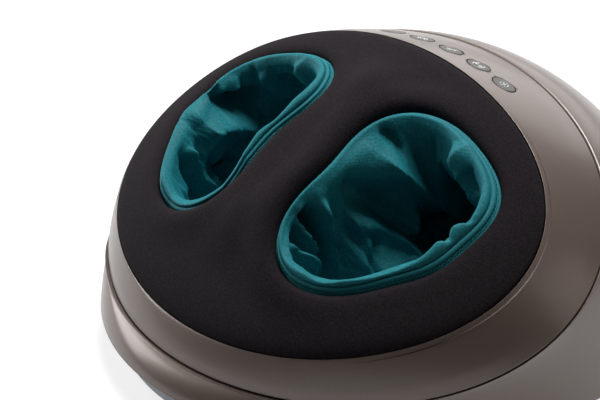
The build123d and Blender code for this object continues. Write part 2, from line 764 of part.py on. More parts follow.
def build_domes(place):
    """The soft kneading domes on a rotor's head."""
    x, s = rotor_spots()[place]
    low = cover_top() + HEAD_STAND
    domes = []
    for number in range(DOME_COUNT):
        angle = 2 * pi * (number + 0.5) / DOME_COUNT
        stem = Cylinder(DOME_RADIUS, DOME_RISE, align=(Align.CENTER, Align.CENTER, Align.MIN))
        dome = fillet(stem.edges().sort_by(Axis.Z)[-1], DOME_RADIUS * DOME_ROUND_SHARE)
        spot = Pos(x + DOME_PITCH_RADIUS * cos(angle), s + DOME_PITCH_RADIUS * sin(angle), low)
        domes.append(in_sole(spot * dome))
    return group(domes)


def plate(half_width, half_length, corner, low):
    return Pos(0, 0, low) * extrude(RectangleRounded(2 * half_width, 2 * half_length, corner), PLATE)


def build_gear_plate():
    """The plate that carries the gears' axles and the pillars of the sole plate."""
    body = plate(GEAR_PLATE_HALF_WIDTH, GEAR_PLATE_HALF_LENGTH, GEAR_PLATE_CORNER, 0)
    for x, s in PILLAR_SPOTS:
        body = body + Pos(x, s, 0) * upright(Plane.XY, PILLAR_RADIUS, 0, cover_level())
    for x, s in axle_spots():
        body = body + Pos(x, s, 0) * upright(Plane.XY, WASHER_RADIUS, 0, gear_level() - RUNNING_GAP)
        body = body - Pos(x, s, 0) * upright(Plane.XY, AXLE_RADIUS, -OVERRUN, cover_level())
    body = body - upright(Plane.XY, BUSH_RADIUS, -OVERRUN, cover_level())
    return body


def axle_spots():
    return list(rotor_spots().values()) + list(idler_spots().values())


def build_gear_axles():
    """Fixed pins: short ones for the idlers, long ones up into the rotors' heads."""
    pins = []
    top = cover_top() + HEAD_STAND - HEAD_SKIN - RUNNING_GAP
    for x, s in rotor_spots().values():
        pins.append(in_sole(Pos(x, s, 0) * upright(Plane.XY, AXLE_RADIUS, RUNNING_GAP, top)))
    for x, s in idler_spots().values():
        low = upright(Plane.XY, AXLE_RADIUS, RUNNING_GAP, cover_level() - FIT_GAP)
        pins.append(in_sole(Pos(x, s, 0) * low))
    return group(pins)


def build_drive_bush():
    """The bush in the gear plate that steadies the motor shaft's end."""
    body = upright(Plane.XY, BUSH_RADIUS, 0, gear_level() - RUNNING_GAP)
    return body - upright(Plane.XY, SHAFT_RADIUS + RUNNING_GAP, -OVERRUN, cover_level())


def build_sole_plate():
    """The cover over the gears, with a round window for each head."""
    body = plate(SOLE_PLATE_HALF_WIDTH, SOLE_PLATE_HALF_LENGTH, SOLE_PLATE_CORNER, cover_level())
    for x, s in rotor_spots().values():
        body = body - Pos(x, s, 0) * upright(Plane.XY, HEAD_RADIUS + HEAD_GAP, 0, cover_top() + OVERRUN)
    return body - upright(Plane.XY, SHAFT_RADIUS + HEAD_GAP, 0, cover_top() + OVERRUN)


def build_gearbox():
    body = Pos(0, 0, cover_top()) * extrude(
        RectangleRounded(2 * GEARBOX_HALF_WIDTH, 2 * GEARBOX_HALF_LENGTH, SHAFT_RADIUS), GEARBOX_HEIGHT)
    return body - upright(Plane.XY, SHAFT_RADIUS + RUNNING_GAP, 0, cover_top() + GEARBOX_HEIGHT / 2)


def build_drive_motor():
    low = cover_top() + GEARBOX_HEIGHT
    can = upright(Plane.XY, MOTOR_RADIUS, low, low + MOTOR_LENGTH - WALL)
    return can + upright(Plane.XY, BUSH_RADIUS, low, low + MOTOR_LENGTH)


def build_drive_shaft():
    return upright(Plane.XY, SHAFT_RADIUS, FIT_GAP, cover_top() + GEARBOX_HEIGHT / 2 - RUNNING_GAP)


def build_bladder():
    """The flat air bladder over one instep, between the tub's roof and the liner."""
    sole = cover_top() + FIT_GAP
    room = tub_solid(-BLADDER_GAP, sole, tray_level() - FIT_GAP)
    room = room - liner_space(BLADDER_GAP, dome_top() + FIT_GAP)
    span = sole_plane().location * Pos(FOOT_OUT, POCKET_HALF_LENGTH, dome_top() + 2 * FIT_GAP) * extrude(
        Rectangle(2 * BLADDER_HALF_WIDTH, 2 * POCKET_HALF_LENGTH - 2 * PILLAR_RADIUS), POCKET_HALF_LENGTH)
    return room & span


def base_edge(turn, inset=0.0):
    y = BASE_BACK + (BASE_HALF_DEPTH - inset) * sin(turn)
    return Vector((BASE_HALF_WIDTH - inset) * cos(turn), y, BASE_LIFT)


def base_profile(turn):
    def lip(inset, height):
        low = foot_edge(turn)
        out = Vector(low.X, low.Y, 0).normalized()
        return Vector(low.X, low.Y, height) - out * inset

    def bottom(inset, rise):
        return base_edge(turn, inset) + Vector(0, 0, rise)
    return closed_wire([bottom(0, 0), lip(BASE_LIP_INSET, BASE_FLARE_TOP)],
                       [lip(BASE_LIP_INSET, BASE_LIP_TOP), lip(BASE_LIP_INSET + BASE_WALL, BASE_LIP_TOP)],
                       [lip(BASE_LIP_INSET + BASE_WALL, BASE_FLARE_TOP), bottom(BASE_WALL, BASE_WALL)],
                       [bottom(4 * BASE_WALL, BASE_WALL), bottom(4 * BASE_WALL, 0)])


def sole_posts():
    """Where the posts stand that carry the gear plate: under its axles and pillars."""
    return [spot for spot in list(rotor_spots().values()) + list(PILLAR_SPOTS)]


def build_base_pan():
    floor = Pos(0, BASE_BACK, BASE_LIFT) * extrude(
        Ellipse(BASE_HALF_WIDTH - 2 * BASE_WALL, BASE_HALF_DEPTH - 2 * BASE_WALL), BASE_WALL)
    pan = band(base_profile) + floor
    for x, s in sole_posts():
        seat = sole_point(x, s, 0)
        post = Pos(seat.X, seat.Y, 0) * upright(Plane.XY, POST_RADIUS, BASE_LIFT, seat.Z + POST_RADIUS)
        pan = pan + split(post, bisect_by=sole_plane(), keep=Keep.BOTTOM)
    for x, y, size, stands in stand_list():
        reach = (size[0] * STAND_SHARE / 2, size[1] * STAND_SHARE / 2)
        for spot in GridLocations(2 * reach[0], 2 * reach[1], 2, 2):
            pan = pan + Pos(x, y, 0) * spot * upright(Plane.XY, STAND_RADIUS, BASE_LIFT, stand_top(stands))
    for middle, wall, outward in screw_posts():
        place = Plane(origin=middle, z_dir=(0, 0, 1))
        pan = pan - upright(place, SCREW_RADIUS + RUNNING_GAP, 0, SCREW_POST_TOP)
    for number in range(VENT_COUNT):
        x = VENT_SPOT[0] + VENT_PITCH * (number - (VENT_COUNT - 1) / 2)
        slot = SlotOverall(VENT_LENGTH, VENT_WIDTH, rotation=90)
        pan = pan - Pos(x, VENT_SPOT[1], 0) * extrude(slot, SKIRT_LIFT)
    return pan


def stand_list():
    """Things that stand on posts on the base: place, size and the posts' height."""
    return [PUMP_SPOT + (PUMP_SIZE, PUMP_STANDS), CONTROL_SPOT + (CONTROL_SIZE, CONTROL_STANDS)]


def build_rubber_feet():
    return group([Pos(x, y, 0) * upright(Plane.XY, FOOT_RADIUS, 0, BASE_LIFT) for x, y in FOOT_SPOTS])


def build_case_screws():
    """Long screws up through the base into the skirt's posts."""
    screws = []
    for middle, wall, outward in screw_posts():
        place = Plane(origin=middle, z_dir=(0, 0, 1))
        screws.append(upright(place, SCREW_RADIUS, BASE_LIFT - SCREW_HEAD / 2, SCREW_POST_TOP - 2 * WALL)
                      + upright(place, SCREW_HEAD_RADIUS, BASE_LIFT - SCREW_HEAD, BASE_LIFT))
    return group(screws)


def stand_top(stands):
    return BASE_LIFT + BASE_WALL + stands


def build_air_pump():
    """A diaphragm pump head beside its own small motor."""
    low = stand_top(PUMP_STANDS)
    head = Pos(PUMP_SPOT[0], PUMP_SPOT[1], 0) * block(PUMP_SIZE, low)
    lid = Pos(PUMP_SPOT[0], PUMP_SPOT[1], 0) * upright(Plane.XY, PUMP_SIZE[1] / 2 - WALL, low,
                                                       low + PUMP_SIZE[2] + WALL)
    nozzle = Pos(PUMP_SPOT[0] + PUMP_SIZE[0] / 2, PUMP_SPOT[1], low + PUMP_SIZE[2] / 2)
    spout = nozzle * Rot(0, 90, 0) * Cylinder(HOSE_RADIUS, 2 * NOZZLE_LENGTH)
    return head + lid + spout


def build_pump_motor():
    low = stand_top(PUMP_STANDS)
    place = Pos(PUMP_SPOT[0] - PUMP_SIZE[0] / 2, PUMP_SPOT[1], low + PUMP_SIZE[2] / 2)
    return place * Rot(0, -90, 0) * Cylinder(PUMP_MOTOR_RADIUS, PUMP_MOTOR_LENGTH,
                                             align=(Align.CENTER, Align.CENTER, Align.MIN))


def build_control_board():
    low = stand_top(CONTROL_STANDS)
    return Pos(CONTROL_SPOT[0], CONTROL_SPOT[1], 0) * block(CONTROL_SIZE, low)


def build_control_parts():
    """What stands on the control board: transformer, heat sink, capacitors and plugs."""
    low = stand_top(CONTROL_STANDS) + CONTROL_SIZE[2]
    parts = [on_board(x, y) * block(size, low) for x, y, size in CONTROL_BLOCKS]
    for x, y, radius, height in CONTROL_CANS:
        parts.append(on_board(x, y) * upright(Plane.XY, radius, low, low + height))
    return group(parts)


def on_board(x_share, y_share):
    """A place on the control board, in shares of its length and depth."""
    return Pos(CONTROL_SPOT[0] + CONTROL_SIZE[0] * x_share, CONTROL_SPOT[1] + CONTROL_SIZE[1] * y_share, 0)


def build_air_valves():
    """Three solenoid valves side by side on a manifold."""
    low = BASE_LIFT + BASE_WALL
    return group([Pos(VALVE_SPOT[0] + VALVE_PITCH * (k - (VALVE_COUNT - 1) / 2), VALVE_SPOT[1], 0)
                  * block(VALVE_SIZE, low + MANIFOLD_SIZE[2]) for k in range(VALVE_COUNT)])


def build_air_manifold():
    low = BASE_LIFT + BASE_WALL
    return Pos(VALVE_SPOT[0], VALVE_SPOT[1], 0) * block(MANIFOLD_SIZE, low)


def build_power_inlet():
    """A two-pin appliance inlet in the skirt's back wall."""
    back = SKIRT_HALF_DEPTH + INLET_STAND
    body = Pos(0, back - INLET_SIZE[1] / 2, 0) * block(INLET_SIZE, INLET_LIFT)
    lip = Pos(0, back - INLET_FLANGE_BACK, 0) * block(
        (INLET_SIZE[0] + 2 * INLET_FLANGE, WALL, INLET_SIZE[2] + 2 * INLET_FLANGE), INLET_LIFT - INLET_FLANGE)
    middle = INLET_LIFT + INLET_SIZE[2] / 2
    on_back = (Align.CENTER, Align.CENTER, Align.MIN)
    socket = Pos(0, back, middle) * Rot(90, 0, 0) * extrude(SlotOverall(SOCKET_SIZE[0], SOCKET_SIZE[2]),
                                                            SOCKET_SIZE[1])
    pins = [Pos(side * SOCKET_PIN_OUT, back - SOCKET_SIZE[1], middle) * Rot(-90, 0, 0)
            * Cylinder(SOCKET_PIN_RADIUS, SOCKET_SIZE[1] - WALL, align=on_back)
            for side in (-1, 1)]
    return (body + lip) - socket + pins[0] + pins[1]


def rim_disc(grow):
    """A thin disc on the rim's plane with the opening's outline."""
    return Solid.make_loft([arc_wire(lambda t, over=over: opening_point(t, grow, None, over), OPENING_ARCS)
                            for over in (FIT_GAP, FIT_GAP + ZIP_THICK)], True)


def in_sole(shape):
    return sole_plane().location * shape


def write(name, shape):
    export_step(shape, os.path.join("parts", name + ".step"))


def write_pair(name, right):
    """A piece of the +X side and its mirror image."""
    write(name + "_right", right)
    write(name + "_left", right.mirror(Plane.YZ))


def main():
    os.makedirs("parts", exist_ok=True)
    write("lower_skirt", build_lower_skirt())
    write("upper_ring", build_upper_ring())
    write("top_pad", build_top_pad())
    write("pad_tray", build_pad_tray())
    write_pair("foot_tub", build_foot_tub())
    write_pair("liner", build_liner())
    write_pair("zip_band", build_zip_band())
    write_pair("instep_bladder", build_bladder())
    for name, turn in zip(BUTTON_NAMES, button_turns()):
        write(name, build_button(turn))
    write("button_board", build_button_board())
    write("tact_switches", build_tact_switches())
    write("sole_plate", in_sole(build_sole_plate()))
    write("gear_plate", in_sole(build_gear_plate()))
    write("gear_axles", build_gear_axles())
    write("drive_gear", in_sole(build_drive_gear()))
    write("drive_shaft", in_sole(build_drive_shaft()))
    write("drive_bush", in_sole(build_drive_bush()))
    write("gearbox", in_sole(build_gearbox()))
    write("drive_motor", in_sole(build_drive_motor()))
    for side in idler_spots():
        write("idler_gear_" + side, in_sole(build_idler(side)))
    for place in rotor_spots():
        write("rotor_" + place, in_sole(build_rotor(place)))
        write("domes_" + place, build_domes(place))
    write("base_pan", build_base_pan())
    write("rubber_feet", build_rubber_feet())
    write("case_screws", build_case_screws())
    write("air_pump", build_air_pump())
    write("pump_motor", build_pump_motor())
    write("air_manifold", build_air_manifold())
    write("air_valves", build_air_valves())
    write("control_board", build_control_board())
    write("control_parts", build_control_parts())
    write("power_inlet", build_power_inlet())


main()
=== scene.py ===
import json
import math

import bmesh
import bpy
import numpy as np
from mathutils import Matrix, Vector, noise
from mathutils.geometry import delaunay_2d_cdt


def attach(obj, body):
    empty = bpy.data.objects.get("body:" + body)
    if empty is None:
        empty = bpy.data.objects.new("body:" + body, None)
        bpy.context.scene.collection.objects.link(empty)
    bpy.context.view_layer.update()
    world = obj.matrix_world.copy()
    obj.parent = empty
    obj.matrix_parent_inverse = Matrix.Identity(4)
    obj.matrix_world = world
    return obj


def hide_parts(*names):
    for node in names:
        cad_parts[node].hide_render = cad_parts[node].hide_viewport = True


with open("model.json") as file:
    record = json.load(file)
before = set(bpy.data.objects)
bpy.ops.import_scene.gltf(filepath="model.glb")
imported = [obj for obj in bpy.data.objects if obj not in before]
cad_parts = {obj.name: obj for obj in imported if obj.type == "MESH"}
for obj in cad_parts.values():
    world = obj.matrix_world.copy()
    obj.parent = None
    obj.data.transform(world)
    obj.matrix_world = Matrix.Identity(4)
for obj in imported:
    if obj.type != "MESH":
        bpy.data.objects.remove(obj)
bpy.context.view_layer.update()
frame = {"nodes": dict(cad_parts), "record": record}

nodes = frame["nodes"]
MM = 0.001
TAU = 2 * math.pi

# Sizes of the housing, in millimetres and degrees
SKIRT_HALF = (212.5, 225.0)
SKIRT_LIFT = 25.0
SHOULDER_SHARE = 1.29
PARTING = dict(back=-52.0, height=106.6, tilt=26.4)
PARTING_HALF = (217.0, 169.5)
PARTING_SAG = 13.8
EGG_SHARE = 0.056
RING_BULGE = 1.0
WALL = 2.6
FOOT_ROUND = 0.9
SKIRT_INNER_CLIMBS = (0.9, 0.7, 0.45, 0.25)
SKIRT_FOOT_CLIMB = 0.12
PARTING_GAP = 1.1
PARTING_STEP = 3.2
PARTING_LEDGE = 12.0
LEDGE_SHARE = 0.3
LIP_RADIUS = 1.7
LIP_SPREAD = 0.03
LIP_CLIMB = 0.97
RING_STEP = 0.5
RING_STEP_SHARE = 0.3
RING_EDGE_DEPTH = 2.9
RING_EDGE_ROUND = 0.7
RING_INNER_SHARES = (0.7, 0.3)
RING_WALL_DEPTH = 8.0
PAD_SIDE_ROUND = 0.9
PAD = dict(back=-76.5, height=132.6, tilt=30.7)
PAD_HALF = (190.7, 137.3)
PAD_SAG = 10.8
PAD_SQUARING = 2.7
PAD_POINTING = 1.5
PAD_ROLL = 3.2
PAD_CROWN = 28.0
PAD_CROWN_SHARES = (2.48, 0.667)
PAD_SLACK = 0.8
OPENING_MIDDLE = (102.6, 13.0)
OPENING_REACH = 70.5
OPENING_COS = (-0.257, -0.099, 0.090, -0.045)
OPENING_SIN = (-0.023, 0.050, 0.030, -0.031)
BUTTONS = ("button_one", "button_two", "button_three", "button_four", "button_five")
BUTTON_STEP = 8.4
BUTTON_SEAT = 0.635
BUTTON_HALF = (11.0, 8.0)
BUTTON_HOLE_REACH = 6
INLET_WINDOW = dict(half=14.3, low=30.7, high=47.3, front=200.0, back=240.0)
SOLE = dict(back=-25.0, height=40.0, tilt=12.0)
NUDGE = math.radians(1)


def leaning(place, u, v, w):
    """Points given along, up and out of a plane that leans by its tilt about the X axis."""
    lean = math.radians(place["tilt"])
    y = place["back"] + v * math.cos(lean) - w * math.sin(lean)
    z = place["height"] + v * math.sin(lean) + w * math.cos(lean)
    return np.stack(np.broadcast_arrays(u, y, z), -1)


def unit(a):
    return a / np.maximum(np.linalg.norm(a, axis=-1, keepdims=True), 1e-9)


def soft_step(x):
    x = np.clip(x, 0, 1)
    return x * x * (3 - 2 * x)


def parting_edge(t):
    u = PARTING_HALF[0] * np.cos(t) * (1 + EGG_SHARE * np.sin(t))
    return leaning(PARTING, u, PARTING_HALF[1] * np.sin(t), -PARTING_SAG * np.cos(2 * t))


def pad_outline(t, inset=0.0):
    u = (PAD_HALF[0] - inset) * np.cos(t) * (1 + EGG_SHARE * np.sin(t))
    v = (PAD_HALF[1] - inset) * np.sin(t) + PAD_SQUARING * np.cos(2 * t)
    return u, v + PAD_POINTING * np.sin(3 * t)


def pad_rise(t):
    return -PAD_SAG * np.cos(2 * t) - PAD_ROLL * np.sin(3 * t)


def pad_edge(t, inset=0.0, drop=0.0):
    u, v = pad_outline(t, inset)
    return leaning(PAD, u, v, pad_rise(t) - drop)


def skirt_skin(t, climb):
    """The skirt's outer skin, from its foot at climb 0 to the parting line at 1."""
    low = np.stack([SKIRT_HALF[0] * np.cos(t), SKIRT_HALF[1] * np.sin(t), np.full_like(t, SKIRT_LIFT)], -1)
    high = parting_edge(t)
    along = climb * math.pi / 2
    inward = 1 - max(math.cos(along), 0) ** SHOULDER_SHARE if climb < 1 else 1.0
    upward = math.sin(along) ** SHOULDER_SHARE
    return low + (high - low) * np.array([inward, inward, upward])


def ring_frame(t):
    """The directions inward over the ring and square out of it, along the parting line."""
    along = parting_edge(t + NUDGE) - parting_edge(t - NUDGE)
    inward = unit(pad_edge(t) - parting_edge(t))
    return inward, -unit(np.cross(inward, along))


def ring_skin(t, climb):
    """The ring's outer skin, from the parting line at climb 0 to the pad's edge at 1."""
    low = parting_edge(t)
    outward = ring_frame(t)[1]
    climb = np.asarray(climb, float)
    if climb.ndim == 1:
        climb = climb[:, None]
    return low + (pad_edge(t) - low) * climb + outward * (RING_BULGE * 4 * climb * (1 - climb))


def skin_normal(skin, t, climb):
    along = skin(t + NUDGE, climb) - skin(t - NUDGE, climb)
    up = skin(t, min(climb + NUDGE, 1)) - skin(t, max(climb - NUDGE, 0))
    return unit(np.cross(along, up))


def round_edge(corner, first, second, radius, count=6):
    """A quarter round at a corner, from along first to along second (directions away from the corner)."""
    rows = []
    for a in np.linspace(0, math.pi / 2, count):
        rows.append(corner + first * radius * (1 - math.sin(a)) + second * radius * (1 - math.cos(a)))
    return rows


def mesh_object(name, points, faces, smooth=True):
    mesh = bpy.data.meshes.new(name)
    mesh.from_pydata([tuple(p) for p in np.asarray(points) * MM], [], [tuple(f) for f in faces])
    mesh.validate()
    tool = bmesh.new()
    tool.from_mesh(mesh)
    bmesh.ops.recalc_face_normals(tool, faces=tool.faces)
    tool.to_mesh(mesh)
    tool.free()
    if smooth:
        mesh.polygons.foreach_set("use_smooth", [True] * len(mesh.polygons))
    piece = bpy.data.objects.new(name, mesh)
    bpy.context.scene.collection.objects.link(piece)
    return piece


def grid_faces(rows, columns, wrap_rows, wrap_columns, offset=0):
    faces = []
    for i in range(rows if wrap_rows else rows - 1):
        for j in range(columns if wrap_columns else columns - 1):
            a = i * columns + j
            b = i * columns + (j + 1) % columns
            c = ((i + 1) % rows) * columns + (j + 1) % columns
            d = ((i + 1) % rows) * columns + j
            faces.append((a + offset, b + offset, c + offset, d + offset))
    return faces


def band(name, rows, wrap_rows=True):
    rows = np.stack(rows)
    faces = grid_faces(rows.shape[0], rows.shape[1], wrap_rows, True)
    return mesh_object(name, rows.reshape(-1, 3), faces)


def cut(piece, cutter):
    """Cuts one closed mesh out of a piece."""
    modifier = piece.modifiers.new("cut", "BOOLEAN")
    modifier.operation = "DIFFERENCE"
    modifier.solver = "EXACT"
    modifier.object = cutter
    graph = bpy.context.evaluated_depsgraph_get()
    made = bpy.data.meshes.new_from_object(piece.evaluated_get(graph))
    piece.modifiers.clear()
    piece.data = made
    bpy.data.objects.remove(cutter)


# Materials
def material(name, color, rough, metallic=0.0):
    made = bpy.data.materials.new(name)
    made.use_nodes = True
    shader = made.node_tree.nodes["Principled BSDF"]
    shader.inputs["Base Color"].default_value = (*color, 1)
    shader.inputs["Roughness"].default_value = rough
    shader.inputs["Metallic"].default_value = metallic
    return made, made.node_tree, shader


def noise_node(tree, scale, detail=2.0, stretch=(1, 1, 1), turn=(0, 0, 0)):
    place = tree.nodes.new("ShaderNodeTexCoord")
    mapping = tree.nodes.new("ShaderNodeMapping")
    mapping.inputs["Scale"].default_value = stretch
    mapping.inputs["Rotation"].default_value = turn
    texture = tree.nodes.new("ShaderNodeTexNoise")
    texture.inputs["Scale"].default_value = scale
    texture.inputs["Detail"].default_value = detail
    tree.links.new(place.outputs["Object"], mapping.inputs["Vector"])
    tree.links.new(mapping.outputs["Vector"], texture.inputs["Vector"])
    return texture.outputs["Fac"]


def bump(tree, shader, height, strength, distance, before=None):
    node = tree.nodes.new("ShaderNodeBump")
    node.inputs["Strength"].default_value = strength
    node.inputs["Distance"].default_value = distance
    tree.links.new(height, node.inputs["Height"])
    if before is not None:
        tree.links.new(before, node.inputs["Normal"])
    tree.links.new(node.outputs["Normal"], shader.inputs["Normal"])
    return node.outputs["Normal"]


def vary_color(tree, shader, factor, low, high, at=(0.3, 0.7)):
    ramp = tree.nodes.new("ShaderNodeValToRGB")
    ramp.color_ramp.elements[0].position = at[0]
    ramp.color_ramp.elements[1].position = at[1]
    ramp.color_ramp.elements[0].color = (*low, 1)
    ramp.color_ramp.elements[1].color = (*high, 1)
    tree.links.new(factor, ramp.inputs["Fac"])
    tree.links.new(ramp.outputs["Color"], shader.inputs["Base Color"])
    return ramp


def vary_rough(tree, shader, factor, low, high):
    span = tree.nodes.new("ShaderNodeMapRange")
    span.inputs["To Min"].default_value = low
    span.inputs["To Max"].default_value = high
    tree.links.new(factor, span.inputs["Value"])
    tree.links.new(span.outputs["Result"], shader.inputs["Roughness"])


def taupe_paint():
    made, tree, shader = material("taupe_paint", (0.15, 0.113, 0.099), 0.4, 0.2)
    shader.inputs["Coat Weight"].default_value = 0.55
    shader.inputs["Coat Roughness"].default_value = 0.22
    fleck = noise_node(tree, 2600.0, 1.0)
    vary_color(tree, shader, fleck, (0.138, 0.101, 0.086), (0.166, 0.122, 0.105), (0.35, 0.65))
    vary_rough(tree, shader, noise_node(tree, 60.0, 3.0), 0.36, 0.44)
    bump(tree, shader, fleck, 0.12, 0.00004)
    return made


def knit_cloth():
    made, tree, shader = material("black_knit_cloth", (0.0115, 0.0092, 0.0112), 0.92)
    shader.inputs["Sheen Weight"].default_value = 0.02
    shader.inputs["Sheen Roughness"].default_value = 0.5
    shader.inputs["Sheen Tint"].default_value = (0.55, 0.5, 0.53, 1)
    shader.inputs["Specular IOR Level"].default_value = 0.12
    stitch = noise_node(tree, 900.0, 3.0, (1.0, 1.0, 0.6))
    cloudy = noise_node(tree, 34.0, 3.0)
    vary_color(tree, shader, stitch, (0.0062, 0.0048, 0.006), (0.02, 0.0158, 0.0194), (0.3, 0.7))
    first = bump(tree, shader, cloudy, 0.15, 0.0006)
    bump(tree, shader, stitch, 0.5, 0.00025, first)
    return made


def satin_cloth():
    made, tree, shader = material("teal_satin_cloth", (0.014, 0.2, 0.24), 0.6)
    shader.inputs["Sheen Weight"].default_value = 0.02
    shader.inputs["Sheen Roughness"].default_value = 0.4
    shader.inputs["Sheen Tint"].default_value = (0.2, 0.9, 0.95, 1)
    shader.inputs["Specular IOR Level"].default_value = 0.16
    place = tree.nodes.new("ShaderNodeTexCoord")
    rib = tree.nodes.new("ShaderNodeTexWave")
    rib.bands_direction = "Z"
    rib.inputs["Scale"].default_value = 170.0
    rib.inputs["Distortion"].default_value = 1.2
    rib.inputs["Detail"].default_value = 1.0
    tree.links.new(place.outputs["Object"], rib.inputs["Vector"])
    thread = noise_node(tree, 620.0, 4.0)
    vary_color(tree, shader, thread, (0.008, 0.13, 0.154), (0.017, 0.225, 0.265), (0.28, 0.72))
    first = bump(tree, shader, rib.outputs["Fac"], 0.12, 0.0003)
    bump(tree, shader, thread, 0.55, 0.0005, first)
    return made


def tape_cloth():
    made, tree, shader = material("teal_tape_cloth", (0.014, 0.2, 0.24), 0.6)
    shader.inputs["Sheen Weight"].default_value = 0.03
    shader.inputs["Sheen Tint"].default_value = (0.2, 0.92, 0.95, 1)
    shader.inputs["Specular IOR Level"].default_value = 0.2
    weave = tree.nodes.new("ShaderNodeTexVoronoi")
    weave.inputs["Scale"].default_value = 1900.0
    place = tree.nodes.new("ShaderNodeTexCoord")
    tree.links.new(place.outputs["Object"], weave.inputs["Vector"])
    cells = weave.outputs["Distance"]
    vary_color(tree, shader, cells, (0.018, 0.25, 0.29), (0.009, 0.14, 0.175), (0.1, 0.8))
    bump(tree, shader, cells, 0.4, 0.0002)
    return made


def moulded(name, color, rough, grain=900.0, strength=0.25):
    made, tree, shader = material(name, color, rough)
    speck = noise_node(tree, grain, 2.0)
    vary_rough(tree, shader, noise_node(tree, 45.0, 3.0), rough * 0.9, min(rough * 1.12, 1))
    low = tuple(c * 0.93 for c in color)
    high = tuple(min(c * 1.07, 1) for c in color)
    vary_color(tree, shader, speck, low, high)
    bump(tree, shader, speck, strength, 0.00012)
    return made


def metal(name, color, rough):
    made, tree, shader = material(name, color, rough, 1.0)
    brushed = noise_node(tree, 500.0, 3.0, (1, 1, 0.06))
    vary_rough(tree, shader, brushed, rough * 0.8, rough * 1.3)
    bump(tree, shader, brushed, 0.15, 0.0001)
    return made


PAINT = taupe_paint()
KNIT = knit_cloth()
SATIN = satin_cloth()
TAPE = tape_cloth()
COIL = moulded("teal_coil", (0.05, 0.52, 0.58), 0.35, 700.0, 0.1)
BASE = moulded("base_blue_grey", (0.19, 0.225, 0.255), 0.45)
CAP = moulded("button_cap", (0.085, 0.083, 0.079), 0.42, 1500.0, 0.1)
MARK = moulded("button_mark", (0.72, 0.72, 0.71), 0.4, 1500.0, 0.05)
# Near-black lining for the button holes: painted shade for the gap round each cap
PAINTED_SHADE_WELL = moulded("button_well_painted_shade", (0.006, 0.006, 0.006), 0.7, 1500.0, 0.05)
SLOT_LOOKS = {
    "base_grey": BASE, "tray_black": moulded("tray_plastic", (0.02, 0.02, 0.02), 0.6),
    "tub_grey": moulded("tub_plastic", (0.03, 0.03, 0.033), 0.6),
    "gear_white": moulded("gear_plastic", (0.6, 0.59, 0.55), 0.45),
    "head_grey": moulded("head_plastic", (0.05, 0.05, 0.053), 0.5),
    "dome_rubber": moulded("dome_rubber", (0.02, 0.06, 0.07), 0.75, 500.0, 0.4),
    "plate_black": moulded("plate_plastic", (0.015, 0.015, 0.015), 0.55),
    "steel": metal("steel", (0.55, 0.55, 0.55), 0.3), "bronze": metal("bronze", (0.5, 0.33, 0.13), 0.4),
    "motor_can": metal("motor_steel", (0.5, 0.5, 0.52), 0.35),
    "board_green": moulded("circuit_board", (0.01, 0.08, 0.03), 0.35),
    "parts_dark": moulded("dark_parts", (0.02, 0.02, 0.022), 0.5),
    "foot_rubber": moulded("foot_rubber", (0.012, 0.012, 0.012), 0.85, 500.0, 0.4),
    "bladder": moulded("bladder_film", (0.09, 0.09, 0.095), 0.5, 300.0, 0.3),
    "inlet_black": moulded("inlet_plastic", (0.01, 0.01, 0.01), 0.5),
    "taupe_shell": PAINT, "black_knit": KNIT, "teal_cloth": SATIN, "zip_teal": TAPE, "button_grey": CAP,
}
slot_of = {row["node"]: row["material_slot"] for row in frame["record"]["subparts"]}
for name, node in nodes.items():
    node.data.materials.clear()
    node.data.materials.append(SLOT_LOOKS[slot_of[name]])


def dress(piece, look, slot, body="housing", *replaced):
    piece.data.materials.clear()
    piece.data.materials.append(look)
    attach(piece, body)
    if replaced:
        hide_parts(*replaced)
    return piece


# Skirt and ring
TURNS = np.linspace(0, TAU, 288, endpoint=False)
SKIRT_CLIMBS = np.concatenate([np.linspace(0.02, 0.9, 34), np.linspace(0.91, 0.995, 12)])
RING_SHARES = np.linspace(0.05, 0.95, 22)
UP = np.array([0.0, 0.0, 1.0])


def make_skirt():
    inward, outward = ring_frame(TURNS)
    foot = skirt_skin(TURNS, 0)
    out = unit(foot * np.array([1, 1, 0]))
    rows = [skirt_skin(TURNS, SKIRT_FOOT_CLIMB) - out * WALL, foot - out * WALL]
    rows += list(reversed(round_edge(foot, UP, -out, FOOT_ROUND)))
    top = skirt_skin(TURNS, 1)
    for k, climb in enumerate(SKIRT_CLIMBS):
        back = skirt_skin(TURNS, climb) - top
        far = np.linalg.norm(back, axis=-1, keepdims=True)
        least = LIP_RADIUS + LIP_SPREAD * (len(SKIRT_CLIMBS) - k)
        rows.append(top + back / far * np.maximum(far, least))
    rows += round_edge(top, unit(skirt_skin(TURNS, LIP_CLIMB) - top), -outward, LIP_RADIUS, 8)[1:]
    shelf = top - outward * PARTING_STEP
    rows += [shelf, shelf + inward * PARTING_LEDGE * LEDGE_SHARE, shelf + inward * PARTING_LEDGE]
    rows += [shelf + inward * PARTING_LEDGE - outward * WALL, shelf - outward * WALL]
    for climb in SKIRT_INNER_CLIMBS:
        rows.append(skirt_skin(TURNS, climb) - skin_normal(skirt_skin, TURNS, climb) * WALL)
    return band("skirt_shell", rows)


